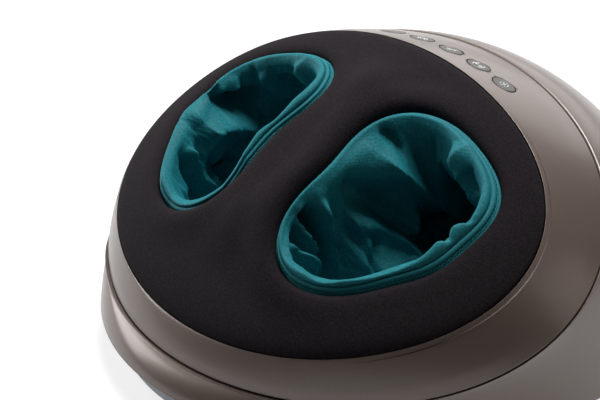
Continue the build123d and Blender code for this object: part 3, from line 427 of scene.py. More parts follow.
def make_ring():
    inward, outward = ring_frame(TURNS)
    reach = np.linalg.norm(pad_edge(TURNS) - parting_edge(TURNS), axis=-1)
    start = PARTING_GAP / reach
    first = ring_skin(TURNS, start)
    low = first - outward * RING_STEP
    rows = [first + inward * WALL - outward * RING_EDGE_DEPTH, first - outward * RING_EDGE_DEPTH]
    rows += list(reversed(round_edge(low, inward, -outward, RING_EDGE_ROUND)))
    for share in RING_SHARES:
        lower = RING_STEP * (1 - soft_step(share / RING_STEP_SHARE))
        rows.append(ring_skin(TURNS, start + (1 - start) * share) - outward * lower)
    edge = pad_edge(TURNS)
    lean = math.radians(PAD["tilt"])
    out = np.array([0.0, -math.sin(lean), math.cos(lean)])
    rows += round_edge(edge, -inward, np.broadcast_to(-out, edge.shape), PAD_SIDE_ROUND)
    rows += [pad_edge(TURNS, 0, RING_WALL_DEPTH), pad_edge(TURNS, -WALL, RING_WALL_DEPTH)]
    rows += [pad_edge(TURNS, -WALL, WALL)]
    for climb in RING_INNER_SHARES:
        rows.append(ring_skin(TURNS, climb) - skin_normal(ring_skin, TURNS, climb) * WALL)
    return band("ring_shell", rows)


def oval_cutter(place, across, along, normal, half, low, high):
    """A closed oval prism for cut, between two levels along its normal."""
    count = 48
    points = []
    for level in (low, high):
        for k in range(count):
            a = TAU * k / count
            flat = place + across * half[0] * math.cos(a) + along * half[1] * math.sin(a)
            points.append(flat + normal * level)
    faces = [tuple(range(count))[::-1], tuple(range(count, 2 * count))]
    faces += [(k, (k + 1) % count, count + (k + 1) % count, count + k) for k in range(count)]
    return mesh_object("cutter", points, faces, False)


def button_turns():
    middle = len(BUTTONS) // 2
    return [math.pi / 2 - math.radians(BUTTON_STEP) * (k - middle) for k in range(len(BUTTONS))]


def panel_frame(turn):
    """A button's seat: its middle, the directions across, along and out, and the ring's slope there."""
    t = np.array([turn])
    press = ring_frame(np.array([math.pi / 2]))[1][0]
    side = (ring_skin(t - NUDGE, BUTTON_SEAT) - ring_skin(t + NUDGE, BUTTON_SEAT))[0]
    side = unit(side - press * (side @ press))
    slope = skin_normal(ring_skin, t, BUTTON_SEAT)[0]
    return ring_skin(t, BUTTON_SEAT)[0], side, np.cross(press, side), press, slope


def window_cutter():
    """A closed box for cut, through the skirt where the inlet stands."""
    half, low, high = INLET_WINDOW["half"], INLET_WINDOW["low"], INLET_WINDOW["high"]
    corners = [(-half, low), (half, low), (half, high), (-half, high)]
    points = [(x, y, z) for y in (INLET_WINDOW["front"], INLET_WINDOW["back"]) for x, z in corners]
    faces = [(0, 1, 2, 3), (7, 6, 5, 4), (0, 4, 5, 1), (1, 5, 6, 2), (2, 6, 7, 3), (3, 7, 4, 0)]
    return mesh_object("cutter", points, faces, False)


skirt = make_skirt()
cut(skirt, window_cutter())
dress(skirt, PAINT, "taupe_shell", "housing", "lower_skirt")
ring = make_ring()
for turn in button_turns():
    middle, across, along, press, slope = panel_frame(turn)
    reach = BUTTON_HOLE_REACH
    cut(ring, oval_cutter(middle, across, along, press, BUTTON_HALF, -reach, reach))
dress(ring, PAINT, "taupe_shell", "housing", "upper_ring")


# Pad: the rims of the openings, the ridge between them and the roll round each, in mm and degrees
RIM = dict(height=35.84, across=0.0013866, along=0.0015554)
PAD_RISE_FROM = 0.04
RIDGE = dict(height=14.5, half=34.0, front=-105, front_fade=60, back=120, back_fade=50)
ROLL = dict(reach=13.0, rise=7.5)
SHADED = dict(turn=182.0, half=75.0, reach=8.0, rise=8.0, soft=1.4)
DIP_REACH = 34.0
# The pad's mesh: its rings of points, the lattice between them and the side that hangs from its edges
PAD_COUNT = 320
OPENING_COUNT = 200
PAD_INSETS = (0.4, 1.1, 2.2, 3.8, 6.0, 9.0)
OPENING_GROWS = (0.0, 0.5, 1.2, 2.2, 3.4, 4.8, 6.4, 8.4)
LATTICE = dict(step=5.0, row=0.866, across=(-200, 200), along=(-140, 145), off_edge=12, off_opening=11)
EDGE_SHARE = 0.99995
PAD_SIDE = ((0.3, 2.0), (1.2, 6.0), (3.0, 14.0), (5.0, 24.0))
OPENING_SIDE_SHARE = 0.8


def opening_reach(t):
    share = np.ones_like(t)
    for k, (even, odd) in enumerate(zip(OPENING_COS, OPENING_SIN)):
        share = share + even * np.cos((k + 1) * t) + odd * np.sin((k + 1) * t)
    return OPENING_REACH * share


def opening_outline(t, grow=0.0):
    reach = opening_reach(t) + grow
    return OPENING_MIDDLE[0] + reach * np.cos(t), OPENING_MIDDLE[1] + reach * np.sin(t)


def from_opening(u, v):
    """Signed distance outside the nearer opening's outline, roughly square to it."""
    x, y = np.abs(u) - OPENING_MIDDLE[0], v - OPENING_MIDDLE[1]
    angle = np.arctan2(y, x)
    step = 0.01
    slope = (opening_reach(angle + step) - opening_reach(angle - step)) / (2 * step)
    reach = opening_reach(angle)
    return (np.hypot(x, y) - reach) / np.sqrt(1 + (slope / reach) ** 2)


TABLE_TURNS = np.linspace(0, TAU, 2881)
TABLE_U, TABLE_V = pad_outline(TABLE_TURNS, PAD_SLACK)
TABLE_ANGLE = np.unwrap(np.arctan2(TABLE_V, TABLE_U))


def pad_share(u, v):
    """The share of the way out to the pad's edge, and the turn there."""
    angle = np.arctan2(v, u)
    angle = np.where(angle < TABLE_ANGLE[0], angle + TAU, angle)
    turn = np.interp(angle, TABLE_ANGLE, TABLE_TURNS)
    edge_u, edge_v = pad_outline(turn, PAD_SLACK)
    return np.hypot(u, v) / np.maximum(np.hypot(edge_u, edge_v), 1e-6), turn


def rim_height(u, v):
    """The height over the pad's plane at which the openings' edges lie."""
    return RIM["height"] - RIM["across"] * u ** 2 - RIM["along"] * v ** 2


def pad_height(u, v):
    """The height of the pad's face: its crown and ridge, sunk to each opening's rim over a roll."""
    share, turn = pad_share(u, v)
    share = np.clip(share, 0, 1)
    power, root = PAD_CROWN_SHARES
    crown = PAD_CROWN * (1 - share ** power) ** root
    crown = crown + pad_rise(turn) * np.maximum(share ** 2 - PAD_RISE_FROM, 0)
    ends = soft_step((v - RIDGE["front"]) / RIDGE["front_fade"])
    ends = ends * soft_step((RIDGE["back"] - v) / RIDGE["back_fade"])
    crown = crown + RIDGE["height"] * np.exp(-(u / RIDGE["half"]) ** 2) * ends
    d = from_opening(u, v)
    near = 1 - soft_step(d / DIP_REACH)
    turn = np.degrees(np.arctan2(v - OPENING_MIDDLE[1], np.abs(u) - OPENING_MIDDLE[0])) % 360
    beside = soft_step(SHADED["soft"] - np.abs(turn - SHADED["turn"]) / SHADED["half"]) * (u > 0)
    rise = ROLL["rise"] + SHADED["rise"] * beside
    height = crown + (rim_height(u, v) + rise - crown) * near
    turned = 1 - np.clip(d / (ROLL["reach"] + SHADED["reach"] * beside), 0, 1)
    return height - rise * (1 - np.sqrt(np.clip(1 - turned ** 2, 0, 1)))


def pad_points():
    """The pad's flat points, the edges that join them into rings and where its three borders start."""
    around = np.linspace(0, TAU, PAD_COUNT, endpoint=False)
    rounds = np.linspace(0, TAU, OPENING_COUNT, endpoint=False)
    flat, edges = [], []

    def ring_of(u, v):
        first = len(flat)
        flat.extend(zip(u, v))
        edges.extend((first + k, first + (k + 1) % len(u)) for k in range(len(u)))
        return first

    starts = [ring_of(*pad_outline(around, PAD_SLACK))]
    for inset in PAD_INSETS:
        ring_of(*pad_outline(around, PAD_SLACK + inset))
    for side in (1, -1):
        for grow in OPENING_GROWS:
            u, v = opening_outline(rounds, grow)
            first = ring_of(side * u, v)
            if grow == 0.0:
                starts.append(first)
    step = LATTICE["step"]
    for j, v in enumerate(np.arange(*LATTICE["along"], step * LATTICE["row"])):
        for u in np.arange(*LATTICE["across"], step) + (j % 2) * step / 2:
            share, turn = pad_share(np.array([u]), np.array([v]))
            edge_u, edge_v = pad_outline(turn, PAD_SLACK)
            gap = (1 - share[0]) * math.hypot(edge_u[0], edge_v[0])
            away = from_opening(np.array([u]), np.array([v]))[0]
            if gap > LATTICE["off_edge"] and away > LATTICE["off_opening"]:
                flat.append((u, v))
    return flat, edges, starts


def make_pad():
    flat, edges, starts = pad_points()
    made = delaunay_2d_cdt([Vector(p) for p in flat], edges, [], 0, 1e-4)
    p = np.array([tuple(q) for q in made[0]])
    faces = []
    for triangle in made[2]:
        middle = p[list(triangle)].mean(0)
        share = pad_share(middle[:1], middle[1:])[0][0]
        if share < EDGE_SHARE and from_opening(middle[:1], middle[1:])[0] > 0:
            faces.append(tuple(triangle))
    w = pad_height(p[:, 0], p[:, 1])
    verts = list(leaning(PAD, p[:, 0], p[:, 1], w))
    for first, count, curve in zip(starts, (PAD_COUNT, OPENING_COUNT, OPENING_COUNT), (None, 1, -1)):
        last = list(range(first, first + count))
        turns = np.linspace(0, TAU, count, endpoint=False)
        for inward, drop in PAD_SIDE:
            level = w[first:first + count] - drop
            if curve is None:
                u, v = pad_outline(turns, PAD_SLACK + inward)
            else:
                u, v = opening_outline(turns, inward * OPENING_SIDE_SHARE)
                u = curve * u
            start = len(verts)
            verts.extend(leaning(PAD, u, v, level))
            now = list(range(start, start + count))
            faces += [(last[k], last[(k + 1) % count], now[(k + 1) % count], now[k]) for k in range(count)]
            last = now
    return mesh_object("pad_cover", verts, faces)


pad = make_pad()
dress(pad, KNIT, "black_knit", "housing", "top_pad")


# Foot pockets, in mm
FOOT_OUT = 92.0
POCKET_HALF = (57.0, 131.0)
POCKET_EGG = 0.08
LINER_FLOOR = 28.8
TUB_FLOOR = 15.3
TRAY_LEVEL = -31.4
POCKET_BULGE = 18.0
SIDES = {"right": 1, "left": -1}
ROUNDS = np.linspace(0, TAU, 320, endpoint=False)


def pocket_point(t, depth, inset):
    """A pocket's wall between the tray's level at depth 0 and the tub's foot at 1, drawn in by inset."""
    u, v = opening_outline(t, -inset)
    upper = leaning(PAD, u, v, TRAY_LEVEL)
    x = FOOT_OUT + (POCKET_HALF[0] - inset) * np.cos(t) * (1 + POCKET_EGG * np.sin(t))
    lower = leaning(SOLE, x, (POCKET_HALF[1] - inset) * np.sin(t), TUB_FLOOR)
    lean = math.radians(SOLE["tilt"])
    up = np.array([0, -math.sin(lean), math.cos(lean)])
    bulge = POCKET_BULGE * 4 * depth * (1 - depth) * np.maximum(np.sin(t), 0) ** 2
    return upper + (lower - upper) * np.asarray(depth)[..., None] + up * bulge[..., None]


def rim_point(t, grow, drop):
    u, v = opening_outline(t, grow)
    return leaning(PAD, u, v, rim_height(u, v) - drop)


# The collar round an opening slopes in and up at 45 degrees. Each point of its section is (mm up the
# slope, mm out of it): the tape's edge, the bed of the coil and the round band that is sewn to the pocket.
COLLAR = [
    (-3.0, -0.7), (-0.9, -0.2), (0.0, 0.2), (1.7, 0.3), (2.0, -0.35), (3.3, -0.4), (3.55, 0.15), (3.9, 0.8),
    (4.5, 1.2), (5.2, 1.35), (5.9, 1.15), (6.5, 0.65), (6.85, 0.0), (7.05, -0.9), (7.3, -2.0),
]
# How far the collar lies below the pad's edge: (degrees round the opening, mm)
SUNK = {"right": [(0, 0), (360, 0)], "left": [(0, 0), (205, 0), (222, 7), (256, 7), (268, 0), (360, 0)]}
# The coil's beads: how far up the collar they lie, and each one's size and shift to its side in mm
COIL_UP = 2.65
COIL_COUNT = 300
BEAD = dict(rings=5, around=8, radius=0.5, tip=0.06, half=0.55, shift=0.18, lift=0.12)


def collar_point(t, up, out, sunk=0.0):
    slope = math.sqrt(0.5)
    return rim_point(t, slope * (out - up), sunk - slope * (up + out))


def sunk_at(t, side):
    places, depths = zip(*SUNK[side])
    return np.interp(np.degrees(t) % 360, places, depths)


def make_tape(side):
    rows = [collar_point(ROUNDS, up, out, sunk_at(ROUNDS, side)) for up, out in COLLAR]
    return band("zip_tape_" + side, [r * [SIDES[side], 1, 1] for r in rows], False)


def make_coil(side):
    """The zip's coil: one small rounded bead for each tooth, in two rows that interlock."""
    turns = np.linspace(0, TAU, 4001)
    line = collar_point(turns, COIL_UP, 0.0, sunk_at(turns, side))
    length = np.concatenate([[0], np.cumsum(np.linalg.norm(np.diff(line, axis=0), axis=1))])
    spots = np.interp((np.arange(COIL_COUNT) + 0.5) / COIL_COUNT * length[-1], length, turns)
    sunk = sunk_at(spots, side)
    centre = collar_point(spots, COIL_UP, 0.0, sunk)
    step = 0.005
    ahead = unit(collar_point(spots + step, COIL_UP, 0.0) - collar_point(spots - step, COIL_UP, 0.0))
    across = unit(collar_point(spots, COIL_UP + 1, 0.0, sunk) - centre)
    up = unit(collar_point(spots, COIL_UP, 1.0, sunk) - centre)
    verts, faces = [], []
    ring_count, around = BEAD["rings"], BEAD["around"]
    for k in range(COIL_COUNT):
        shift = BEAD["shift"] if k % 2 else -BEAD["shift"]
        first = len(verts)
        for i in range(ring_count):
            share = i / (ring_count - 1) * 2 - 1
            radius = BEAD["radius"] * math.sqrt(max(1 - share ** 4, BEAD["tip"]))
            for j in range(around):
                a = TAU * j / around
                point = centre[k] + across[k] * (shift + share * BEAD["half"])
                lift = radius * math.sin(a) + BEAD["lift"]
                point = point + ahead[k] * radius * math.cos(a) + up[k] * lift
                verts.append(point * [SIDES[side], 1, 1])
        faces += grid_faces(ring_count, around, False, True, first)
        faces.append(tuple(range(first, first + around))[::-1])
        faces.append(tuple(range(first + (ring_count - 1) * around, first + ring_count * around)))
    return mesh_object("zip_coil_" + side, verts, faces)


LINER_TURNS = 320
# The flap above the collar: (share of its height up the slope, mm out of it), then (mm up, mm out) down
# its back. It starts at a place up the slope, and a taller flap stands out further.
FLAP = [
    (0.0, -2.4), (-0.03, -1.2), (0.03, -0.2), (0.14, 0.45), (0.34, 0.95), (0.56, 1.0), (0.76, 0.6),
    (0.92, -0.2), (1.0, -1.4), (0.98, -2.9),
]
FLAP_BACK = [(11.4, -5.2), (11.0, -7.6), (10.0, -9.6)]
FLAP_ROWS = len(FLAP) + len(FLAP_BACK)
FLAP_START = 7.3
FLAP_PUFF = dict(least=0.5, tall=9.0)
# How tall the flap stands: (degrees round the opening, mm)
FLAP_TALL = {
    "right": [
        (0, 4), (4, 6.5), (11, 8.5), (18, 7.5), (23, 3.2), (30, 5), (45, 6), (60, 4.5), (75, 5), (90, 4),
        (120, 4), (150, 4.5), (180, 4), (200, 4), (215, 2.6), (238, 2.6), (252, 5.5), (262, 2.6), (272, 4.6),
        (288, 2.6), (303, 2.6), (325, 4.8), (345, 7.5), (351, 7), (356, 3.4), (360, 4),
    ],
    "left": [
        (0, 4), (30, 5), (60, 4), (75, 5), (90, 4), (110, 4.5), (130, 3.5), (146, 6.5), (158, 7.5),
        (168, 5), (176, 3.2), (190, 5.5), (202, 4), (212, 2.6), (228, 3.4), (245, 2.6), (262, 5), (285, 4),
        (320, 4.5), (345, 4), (360, 4),
    ],
}
# The wall below: its rows, how far inside the opening it hangs and how soon it leaves the flap
WALL_LEVELS = 80
WALL_INSET = 15.0
WALL_TOE_INSET = 6.0
WALL_BLEND = 3.0
WALL_LEAD = 1.6


def liner_grid(side):
    """The pocket before its folds: rows from the zip over a soft roll, down the wall to the sole."""
    t = np.linspace(0, TAU, LINER_TURNS, endpoint=False)
    places, heights = zip(*FLAP_TALL[side])
    tall = np.interp(np.degrees(t), places, heights)
    tall = (tall + np.roll(tall, 1) + np.roll(tall, -1) + np.roll(tall, 2) + np.roll(tall, -2)) / 5
    puff = FLAP_PUFF["least"] + tall / FLAP_PUFF["tall"]
    sunk = sunk_at(t, side)
    rows = [collar_point(t, FLAP_START + a * tall, b * (puff if b > 0 else 1), sunk) for a, b in FLAP]
    rows += [collar_point(t, up, out, sunk) for up, out in FLAP_BACK]
    top = rows[-1]
    start = pocket_point(t, np.zeros_like(t), np.full_like(t, WALL_INSET))
    inset = WALL_INSET + WALL_TOE_INSET * np.maximum(np.sin(t), 0)
    for k in range(1, WALL_LEVELS + 1):
        share = k / WALL_LEVELS
        wall = pocket_point(t, np.full_like(t, share), inset)
        blend = soft_step(np.full_like(t, share * WALL_BLEND))[:, None]
        lead = top + (start - top) * share * WALL_LEAD
        rows.append(lead * (1 - blend) + wall * blend)
    return np.stack(rows)


# Folds of each pocket: height and half width in mm, lean down the wall in mm, then (degrees round the
# opening, share of the depth) along the fold. A negative height is a hollow. The wide ones start lower
# down than the others, to leave the collar alone, and the broad ones are rounder across.
FOLDS = {
    "right": [
        (32, 32, 0, [(218, 0.2), (204, 0.27), (190, 0.37), (176, 0.47), (164, 0.56)]),
        (29, 19, 7, [(155, -0.03), (159, 0.03), (156, 0.08), (147, 0.13), (138, 0.19), (130, 0.26),
                     (122, 0.36)]),
        (-9, 4, 0, [(147, -0.03), (145, 0.02), (144, 0.07)]),
        (-24, 12, 0, [(176, 0.27), (170, 0.35), (163, 0.45), (153, 0.56), (143, 0.64), (132, 0.7)]),
        (-11, 9, 0, [(190, 0.05), (182, 0.07), (175, 0.12), (168, 0.18)]),
        (10, 5, 3, [(200, 0.12), (188, 0.15), (180, 0.22), (175, 0.4)]),
        (-10, 4, 0, [(191, 0.1), (181, 0.15), (173, 0.24), (168, 0.38)]),
        (24, 11, 3, [(190, 0.34), (180, 0.46), (170, 0.6), (160, 0.72)]),
        (-5, 3, 0, [(188, 0.17), (198, 0.2), (210, 0.24)]),
        (-4, 3, 0, [(200, 0.13), (203, 0.2), (206, 0.27)]),
        (10, 6, 3, [(205, 0.23), (194, 0.26), (184, 0.33), (176, 0.43)]),
        (-10, 6, 0, [(202, 0.32), (190, 0.36), (178, 0.46)]),
        (7, 5, 2, [(196, 0.42), (182, 0.48), (172, 0.54)]),
        (15, 4.5, 0, [(203, 0.02), (210, 0.08), (218, 0.15), (226, 0.22)]),
        (-20, 5.5, 0, [(211, 0.0), (217, 0.08), (223, 0.15), (228, 0.22)]),
        (15, 4.0, 0, [(217, 0.0), (221, 0.08), (225, 0.15), (229, 0.22)]),
        (-20, 5.0, 0, [(224, 0.0), (227, 0.08), (229, 0.15), (231, 0.22)]),
        (15, 4.0, 0, [(231, 0.0), (232, 0.08), (232, 0.15), (232, 0.22)]),
        (-18, 5.5, 0, [(240, 0.0), (238, 0.1), (235, 0.18), (233, 0.26)]),
        (-14, 9, 0, [(214, 0.03), (224, 0.04), (236, 0.05)]),
        (14, 7, 3, [(126, 0.22), (123, 0.14), (116, 0.08), (108, 0.08), (103, 0.13), (100, 0.22)]),
        (-22, 10, 0, [(116, 0.11), (118, 0.2), (121, 0.32), (126, 0.46)]),
        (13, 9, 2, [(102, -0.02), (94, 0.02), (86, 0.06), (76, 0.12), (66, 0.18)]),
        (-12, 4, 0, [(84, 0.0), (78, 0.04), (70, 0.08)]),
        (-14, 10, 0, [(98, 0.32), (84, 0.38), (70, 0.4)]),
    ],
    "left": [
        (14, 26, 0, [(300, 0.16), (320, 0.2), (340, 0.28)]),
        (19, 12, 4, [(318, 0.05), (334, 0.07), (352, 0.09), (368, 0.13), (382, 0.18), (396, 0.22)]),
        (-14, 9, 0, [(366, 0.0), (378, 0.04), (392, 0.1), (408, 0.16)]),
        (-20, 12, 0, [(306, 0.15), (326, 0.22), (345, 0.32), (362, 0.44)]),
        (9, 8, 0, [(316, 0.2), (330, 0.3), (345, 0.38)]),
        (-4, 3, 0, [(60, -0.03), (60, 0.04), (57, 0.1)]),
        (8, 7, 0, [(66, 0.02), (70, 0.1), (74, 0.2)]),
        (-10, 7, 0, [(80, 0.08), (88, 0.14), (96, 0.2)]),
        (9, 7, 2, [(104, -0.02), (111, 0.05), (118, 0.12)]),
        (10, 4, 0, [(300, 0.05), (295, 0.11), (297, 0.18), (303, 0.25)]),
        (-17, 6, 0, [(289, 0.06), (285, 0.12), (288, 0.19), (294, 0.26)]),
        (9, 6, 0, [(20, -0.01), (30, 0.03), (44, 0.06)]),
        (-7, 5, 0, [(28, 0.08), (40, 0.11), (52, 0.14)]),
    ],
}
FOLD_STEPS = 60
FOLD_TAPER = dict(rate=4, ends=0.25)
FOLD_REACH = 1.9
FOLD_FULLNESS = 0.6
BROAD_FOLD = 20
WIDE_FOLD = dict(width=17, first_row=9)
FADE_ROWS = 8.0
# The cloth's own unevenness: a slow swell and sharp small creases, in mm
SWELL = dict(size=21.0, height=2.0)
CREASE = dict(across=11.0, slant=30.0, down=26.0, height=1.7, middle=0.5, sharp=3.2)
ROUGH_FADE = dict(rows=10.0, early=3)
SEEDS = {"right": 3.0, "left": 11.0}
LINER_CLEAR = 0.6


def grid_point(rows, turn, share):
    """A point between the vertices of a liner's grid, at a turn in degrees and a share of the depth."""
    across = (turn / 360.0 * LINER_TURNS) % LINER_TURNS
    down = min(max(share * WALL_LEVELS + FLAP_ROWS - 1, 0), rows.shape[0] - 1.001)
    i, j = int(down), int(across)
    a, b = down - i, across - j
    right = (j + 1) % LINER_TURNS
    return ((rows[i, j] * (1 - b) + rows[i, right] * b) * (1 - a)
            + (rows[i + 1, j] * (1 - b) + rows[i + 1, right] * b) * a)


def fold_rows(rows, folds, seed):
    """Moves a liner's grid along its normals, towards the foot for a fold and away for a hollow."""
    along = np.roll(rows, -1, 1) - np.roll(rows, 1, 1)
    down = unit(np.gradient(rows, axis=0))
    normal = unit(np.cross(along, down))
    centre = rows.mean(1, keepdims=True)
    normal = normal * np.sign(((centre - rows) * normal).sum(-1).mean())
    moved = np.zeros_like(rows)
    number = np.arange(rows.shape[0])[:, None, None]
    for height, width, lean, line in folds:
        spots = []
        for k in range(FOLD_STEPS):
            q = k / (FOLD_STEPS - 1) * (len(line) - 1)
            i = min(int(q), len(line) - 2)
            turn = line[i][0] + (line[i + 1][0] - line[i][0]) * (q - i)
            share = line[i][1] + (line[i + 1][1] - line[i][1]) * (q - i)
            spots.append(grid_point(rows, turn, share))
        nearest = np.full(rows.shape[:2], 1e9)
        place = np.zeros(rows.shape[:2])
        for k, spot in enumerate(spots):
            gap = np.linalg.norm(rows - spot, axis=-1)
            place = np.where(gap < nearest, k / (FOLD_STEPS - 1), place)
            nearest = np.minimum(gap, nearest)
        taper = soft_step(np.minimum(place, 1 - place) * FOLD_TAPER["rate"] + FOLD_TAPER["ends"])
        away = np.clip(nearest / (width * FOLD_REACH), 0, 1)
        if width > BROAD_FOLD:
            share = (1 - away ** 2) ** 2 * taper
        else:
            share = (1 - away) ** 2 * (1 + FOLD_FULLNESS * away) * taper
        first = WIDE_FOLD["first_row"] if width > WIDE_FOLD["width"] else 1
        fade = np.clip((number - first) / FADE_ROWS, 0, 1)[..., 0]
        moved += normal * (height * share * fade)[..., None] + down * (lean * share * fade)[..., None]
    rough = np.zeros(rows.shape[:2])
    for (i, j), point in zip(np.ndindex(rows.shape[:2]), rows.reshape(-1, 3)):
        spot = Vector(point)
        rough[i, j] = noise.noise(spot / SWELL["size"] + Vector((seed, 0, 0))) * SWELL["height"]
        slanted = spot.y / CREASE["across"] + spot.z / CREASE["slant"]
        place = Vector((spot.x / CREASE["across"], slanted, spot.z / CREASE["down"] + seed))
        line = min(abs(noise.noise(place)) * CREASE["sharp"], 1.0)
        rough[i, j] += CREASE["height"] * (CREASE["middle"] - line)
    fade = np.clip((number - FLAP_ROWS + ROUGH_FADE["early"]) / ROUGH_FADE["rows"], 0, 1)
    return rows + moved + normal * rough[..., None] * fade


def make_liner(side):
    rows = fold_rows(liner_grid(side), FOLDS[side], SEEDS[side])
    lean = math.radians(SOLE["tilt"])
    normal = np.array([0, -math.sin(lean), math.cos(lean)])
    origin = np.array([0, SOLE["back"], SOLE["height"]])
    level = (rows - origin) @ normal
    floor = LINER_FLOOR + LINER_CLEAR
    rows = rows + normal * np.where(level < floor, floor - level, 0)[..., None]
    faces = grid_faces(rows.shape[0], rows.shape[1], False, True)
    verts = list(rows.reshape(-1, 3))
    last = (rows.shape[0] - 1) * rows.shape[1]
    middle = len(verts)
    verts.append(rows[-1].mean(0))
    faces += [(last + k, last + (k + 1) % rows.shape[1], middle) for k in range(rows.shape[1])]
    verts = np.array(verts) * [SIDES[side], 1, 1]
    return mesh_object("liner_cloth_" + side, verts, faces)


# Each opening's zip tape, coil and lining
for side in SIDES:
    dress(make_tape(side), TAPE, "zip_teal", "housing", "zip_band_" + side)
    dress(make_coil(side), COIL, "zip_teal")
    liner = dress(make_liner(side), SATIN, "teal_cloth", "housing", "liner_" + side)


# Buttons, in mm. The well's section is (inset, level), the cap's top (share of the way out, level).
BUTTON_GAP = 0.75
BUTTON_COUNT = 64
WELL_SECTION = ((-0.1, -0.25), (0.12, -0.3), (0.12, -6.0), (-0.1, -6.0))
CAP_TOP = ((0.3, 0.18), (0.6, 0.2), (0.82, 0.2), (0.9, 0.17), (0.955, 0.08), (0.985, -0.1), (1.0, -0.4))
CAP_MIDDLE = 0.17
CAP_DEPTH = 7.0
MARK_WIDTH = 0.9
MARK_LEVELS = (0.12, 0.3)


def oval_points(seat, half, share=1.0):
    """Points round an oval across a button's seat, from its middle."""
    angles = np.linspace(0, TAU, BUTTON_COUNT, endpoint=False)
    wide = seat[1] * half[0] * share * np.cos(angles)[:, None]
    return wide + seat[2] * half[1] * share * np.sin(angles)[:, None]


def lifted(seat, flat, level):
    """Points across a button's seat, moved along its press axis to a level over the ring's slope."""
    middle, press, slope = seat[0], seat[3], seat[4]
    rise = level - (flat @ slope) / (press @ slope)
    return middle + flat + press * rise[:, None]


def make_shade_well(name, turn):
    """A near-black collar inside a button's hole in the ring: painted shade for the dark gap round the cap.
    """
    seat = panel_frame(turn)
    rows = []
    for inset, level in WELL_SECTION:
        half = (BUTTON_HALF[0] - inset, BUTTON_HALF[1] - inset)
        rows.append(lifted(seat, oval_points(seat, half), level))
    return band(name, rows)


def make_mark(name, turn, strokes):
    """Raised strokes on a cap's top: each a list of (across, along) in mm from the cap's middle."""
    seat = panel_frame(turn)
    verts, faces = [], []
    for stroke in strokes:
        line = np.array(stroke, float)
        ahead = unit(np.gradient(line, axis=0))
        side = np.stack([-ahead[:, 1], ahead[:, 0]], 1) * MARK_WIDTH / 2
        first = len(verts)
        for level in MARK_LEVELS:
            for edge in (line - side, line + side):
                flat = edge[:, :1] * seat[1] + edge[:, 1:] * seat[2]
                verts.extend(lifted(seat, flat, level))
        n = len(line)
        low, low_far, high, high_far = (first + n * k for k in range(4))
        for k in range(n - 1):
            faces.append((high + k, high + k + 1, high_far + k + 1, high_far + k))
            faces.append((low + k, low + k + 1, high + k + 1, high + k))
            faces.append((low_far + k + 1, low_far + k, high_far + k, high_far + k + 1))
        for k in (0, n - 1):
            faces.append((low + k, high + k, high_far + k, low_far + k))
    return mesh_object(name, verts, faces, False)


def arc(middle, radius, first, last, count=14):
    angles = np.radians(np.linspace(first, last, count))
    return [(middle[0] + radius * math.cos(a), middle[1] + radius * math.sin(a)) for a in angles]


def wave(level, height=1.5, rate=0.9, half=4.4):
    return [(x, height * math.sin(x * rate) + level) for x in np.linspace(-half, half, 25)]


CENTRE = (0, 0)
MARKS = {
    "button_two": [wave(1.2), wave(-1.2)],
    "button_three": [[(-1.6, -3.4), (2.6, 3.6)], [(-3.8, -0.6), (0.2, -0.4)], [(-0.4, 0.6), (3.6, 0.8)]],
    "button_four": [
        [(1.0, 0.0), (2.2, 1.5)], [(1.0, 0.0), (2.2, -1.5)], [(1.2, 0.0), (3.4, 0.0)],
        [(-1.0, 0.0), (-2.2, 1.5)], [(-1.0, 0.0), (-2.2, -1.5)], [(-1.2, 0.0), (-3.4, 0.0)],
        arc(CENTRE, 4.6, 130, 230), arc(CENTRE, 4.6, -50, 50),
    ],
    "button_five": [*(arc(CENTRE, 3.2, a, a + 22, 5) for a in range(0, 360, 45)),
                    arc(CENTRE, 0.9, 0, 360, 12)],
}


def make_cap(name, turn):
    seat = panel_frame(turn)
    middle, press = seat[0], seat[3]
    count = BUTTON_COUNT
    half = (BUTTON_HALF[0] - BUTTON_GAP, BUTTON_HALF[1] - BUTTON_GAP)
    rows = [lifted(seat, oval_points(seat, half, share), level) for share, level in CAP_TOP]
    rows.append(middle + oval_points(seat, half) - press * CAP_DEPTH)
    rows = np.stack(rows)
    verts = list(rows.reshape(-1, 3))
    faces = grid_faces(rows.shape[0], count, False, True)
    verts.append(middle + press * CAP_MIDDLE)
    faces += [(k, (k + 1) % count, len(verts) - 1) for k in range(count)]
    faces.append(tuple(range((rows.shape[0] - 1) * count, rows.shape[0] * count)))
    return mesh_object(name, verts, faces)


for name, turn in zip(BUTTONS, button_turns()):
    dress(make_cap(name + "_cap", turn), CAP, "button_grey", name + "_body", name)
    # Each well is a near-black lining of painted shade in the gap round the cap
    dress(make_shade_well(name + "_well", turn), PAINTED_SHADE_WELL, "tray_black")
    if name in MARKS:
        dress(make_mark(name + "_mark", turn, MARKS[name]), MARK, "button_grey", name + "_body")


# Floor, light and camera, in metres and watts. Each lamp is (name, place, size, power, colour).
FLOOR_GLOW = 0.76
FLOOR_HALF = 9.0
WORLD_STRENGTH = 0.04
WHITE = (1, 1, 1)
LAMP_AIM = (0, 0, 0.1)
LAMPS = [
    ("top", (-0.35, 0.45, 1.85), (0.9, 0.9), 42, WHITE),
    ("left", (-1.7, -0.7, 0.8), (1.2, 1.0), 23, WHITE),
    ("back", (-1.2, 2.0, 0.9), (2.0, 1.2), 12.5, WHITE),
    ("right", (1.75, 0.9, 0.9), (1.0, 1.0), 3.6, (1, 0.9, 0.8)),
]
AZIMUTH, ELEVATION = math.radians(51.37), math.radians(27.71)
CAMERA_AIM = (-0.00425, -0.0858, 0.1254)
CAMERA_DISTANCE = 1.654
FOCAL_LENGTH = 137.14
SENSOR_WIDTH = 36.0


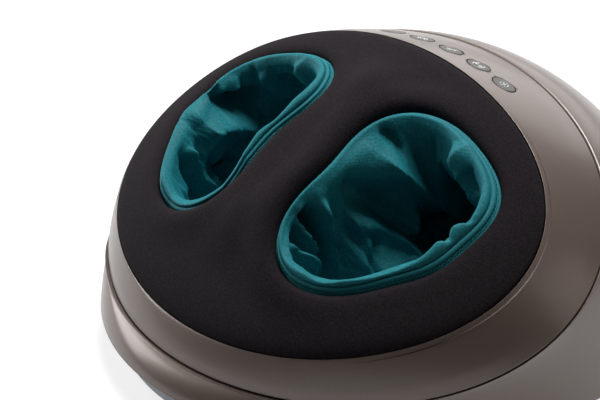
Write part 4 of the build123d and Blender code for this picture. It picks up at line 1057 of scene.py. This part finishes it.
def area_light(name, spot, aim, size, power, color):
    light = bpy.data.lights.new(name, "AREA")
    light.shape = "RECTANGLE"
    light.size, light.size_y = size
    light.energy = power
    light.color = color
    holder = bpy.data.objects.new(name, light)
    holder.location = spot
    holder.rotation_euler = (Vector(aim) - Vector(spot)).to_track_quat("-Z", "Y").to_euler()
    bpy.context.scene.collection.objects.link(holder)


floor_mesh = bpy.data.meshes.new("floor")
floor_corners = [(a * FLOOR_HALF, b * FLOOR_HALF, 0) for a, b in ((-1, -1), (1, -1), (1, 1), (-1, 1))]
floor_mesh.from_pydata(floor_corners, [], [(0, 1, 2, 3)])
floor = bpy.data.objects.new("floor", floor_mesh)
bpy.context.scene.collection.objects.link(floor)
floor_look, floor_tree, floor_shader = material("floor_white", (0.3, 0.3, 0.3), 0.9)
floor_shader.inputs["Emission Color"].default_value = (*WHITE, 1)
path = floor_tree.nodes.new("ShaderNodeLightPath")
seen = None
for ray in ("Is Camera Ray", "Is Glossy Ray", "Is Transmission Ray"):
    if seen is None:
        seen = path.outputs[ray]
    else:
        most = floor_tree.nodes.new("ShaderNodeMath")
        most.operation = "MAXIMUM"
        floor_tree.links.new(seen, most.inputs[0])
        floor_tree.links.new(path.outputs[ray], most.inputs[1])
        seen = most.outputs[0]
glow = floor_tree.nodes.new("ShaderNodeMath")
glow.operation = "MULTIPLY"
glow.inputs[1].default_value = FLOOR_GLOW
floor_tree.links.new(seen, glow.inputs[0])
floor_tree.links.new(glow.outputs[0], floor_shader.inputs["Emission Strength"])
floor.data.materials.append(floor_look)

world = bpy.data.worlds.new("studio")
bpy.context.scene.world = world
world.use_nodes = True
background = world.node_tree.nodes["Background"]
background.inputs["Color"].default_value = (*WHITE, 1)
background.inputs["Strength"].default_value = WORLD_STRENGTH
for name, spot, size, power, color in LAMPS:
    area_light(name, spot, LAMP_AIM, size, power, color)

target = Vector(CAMERA_AIM)
back = Vector((math.sin(AZIMUTH) * math.cos(ELEVATION), -math.cos(AZIMUTH) * math.cos(ELEVATION),
               math.sin(ELEVATION)))
lens = bpy.data.cameras.new("camera")
lens.lens = FOCAL_LENGTH
lens.sensor_width = SENSOR_WIDTH
camera = bpy.data.objects.new("camera", lens)
camera.location = target + back * CAMERA_DISTANCE
camera.rotation_mode = "QUATERNION"
camera.rotation_quaternion = (-back).to_track_quat("-Z", "Y")
bpy.context.scene.collection.objects.link(camera)
bpy.context.scene.camera = camera
bpy.context.scene.view_settings.view_transform = "Standard"
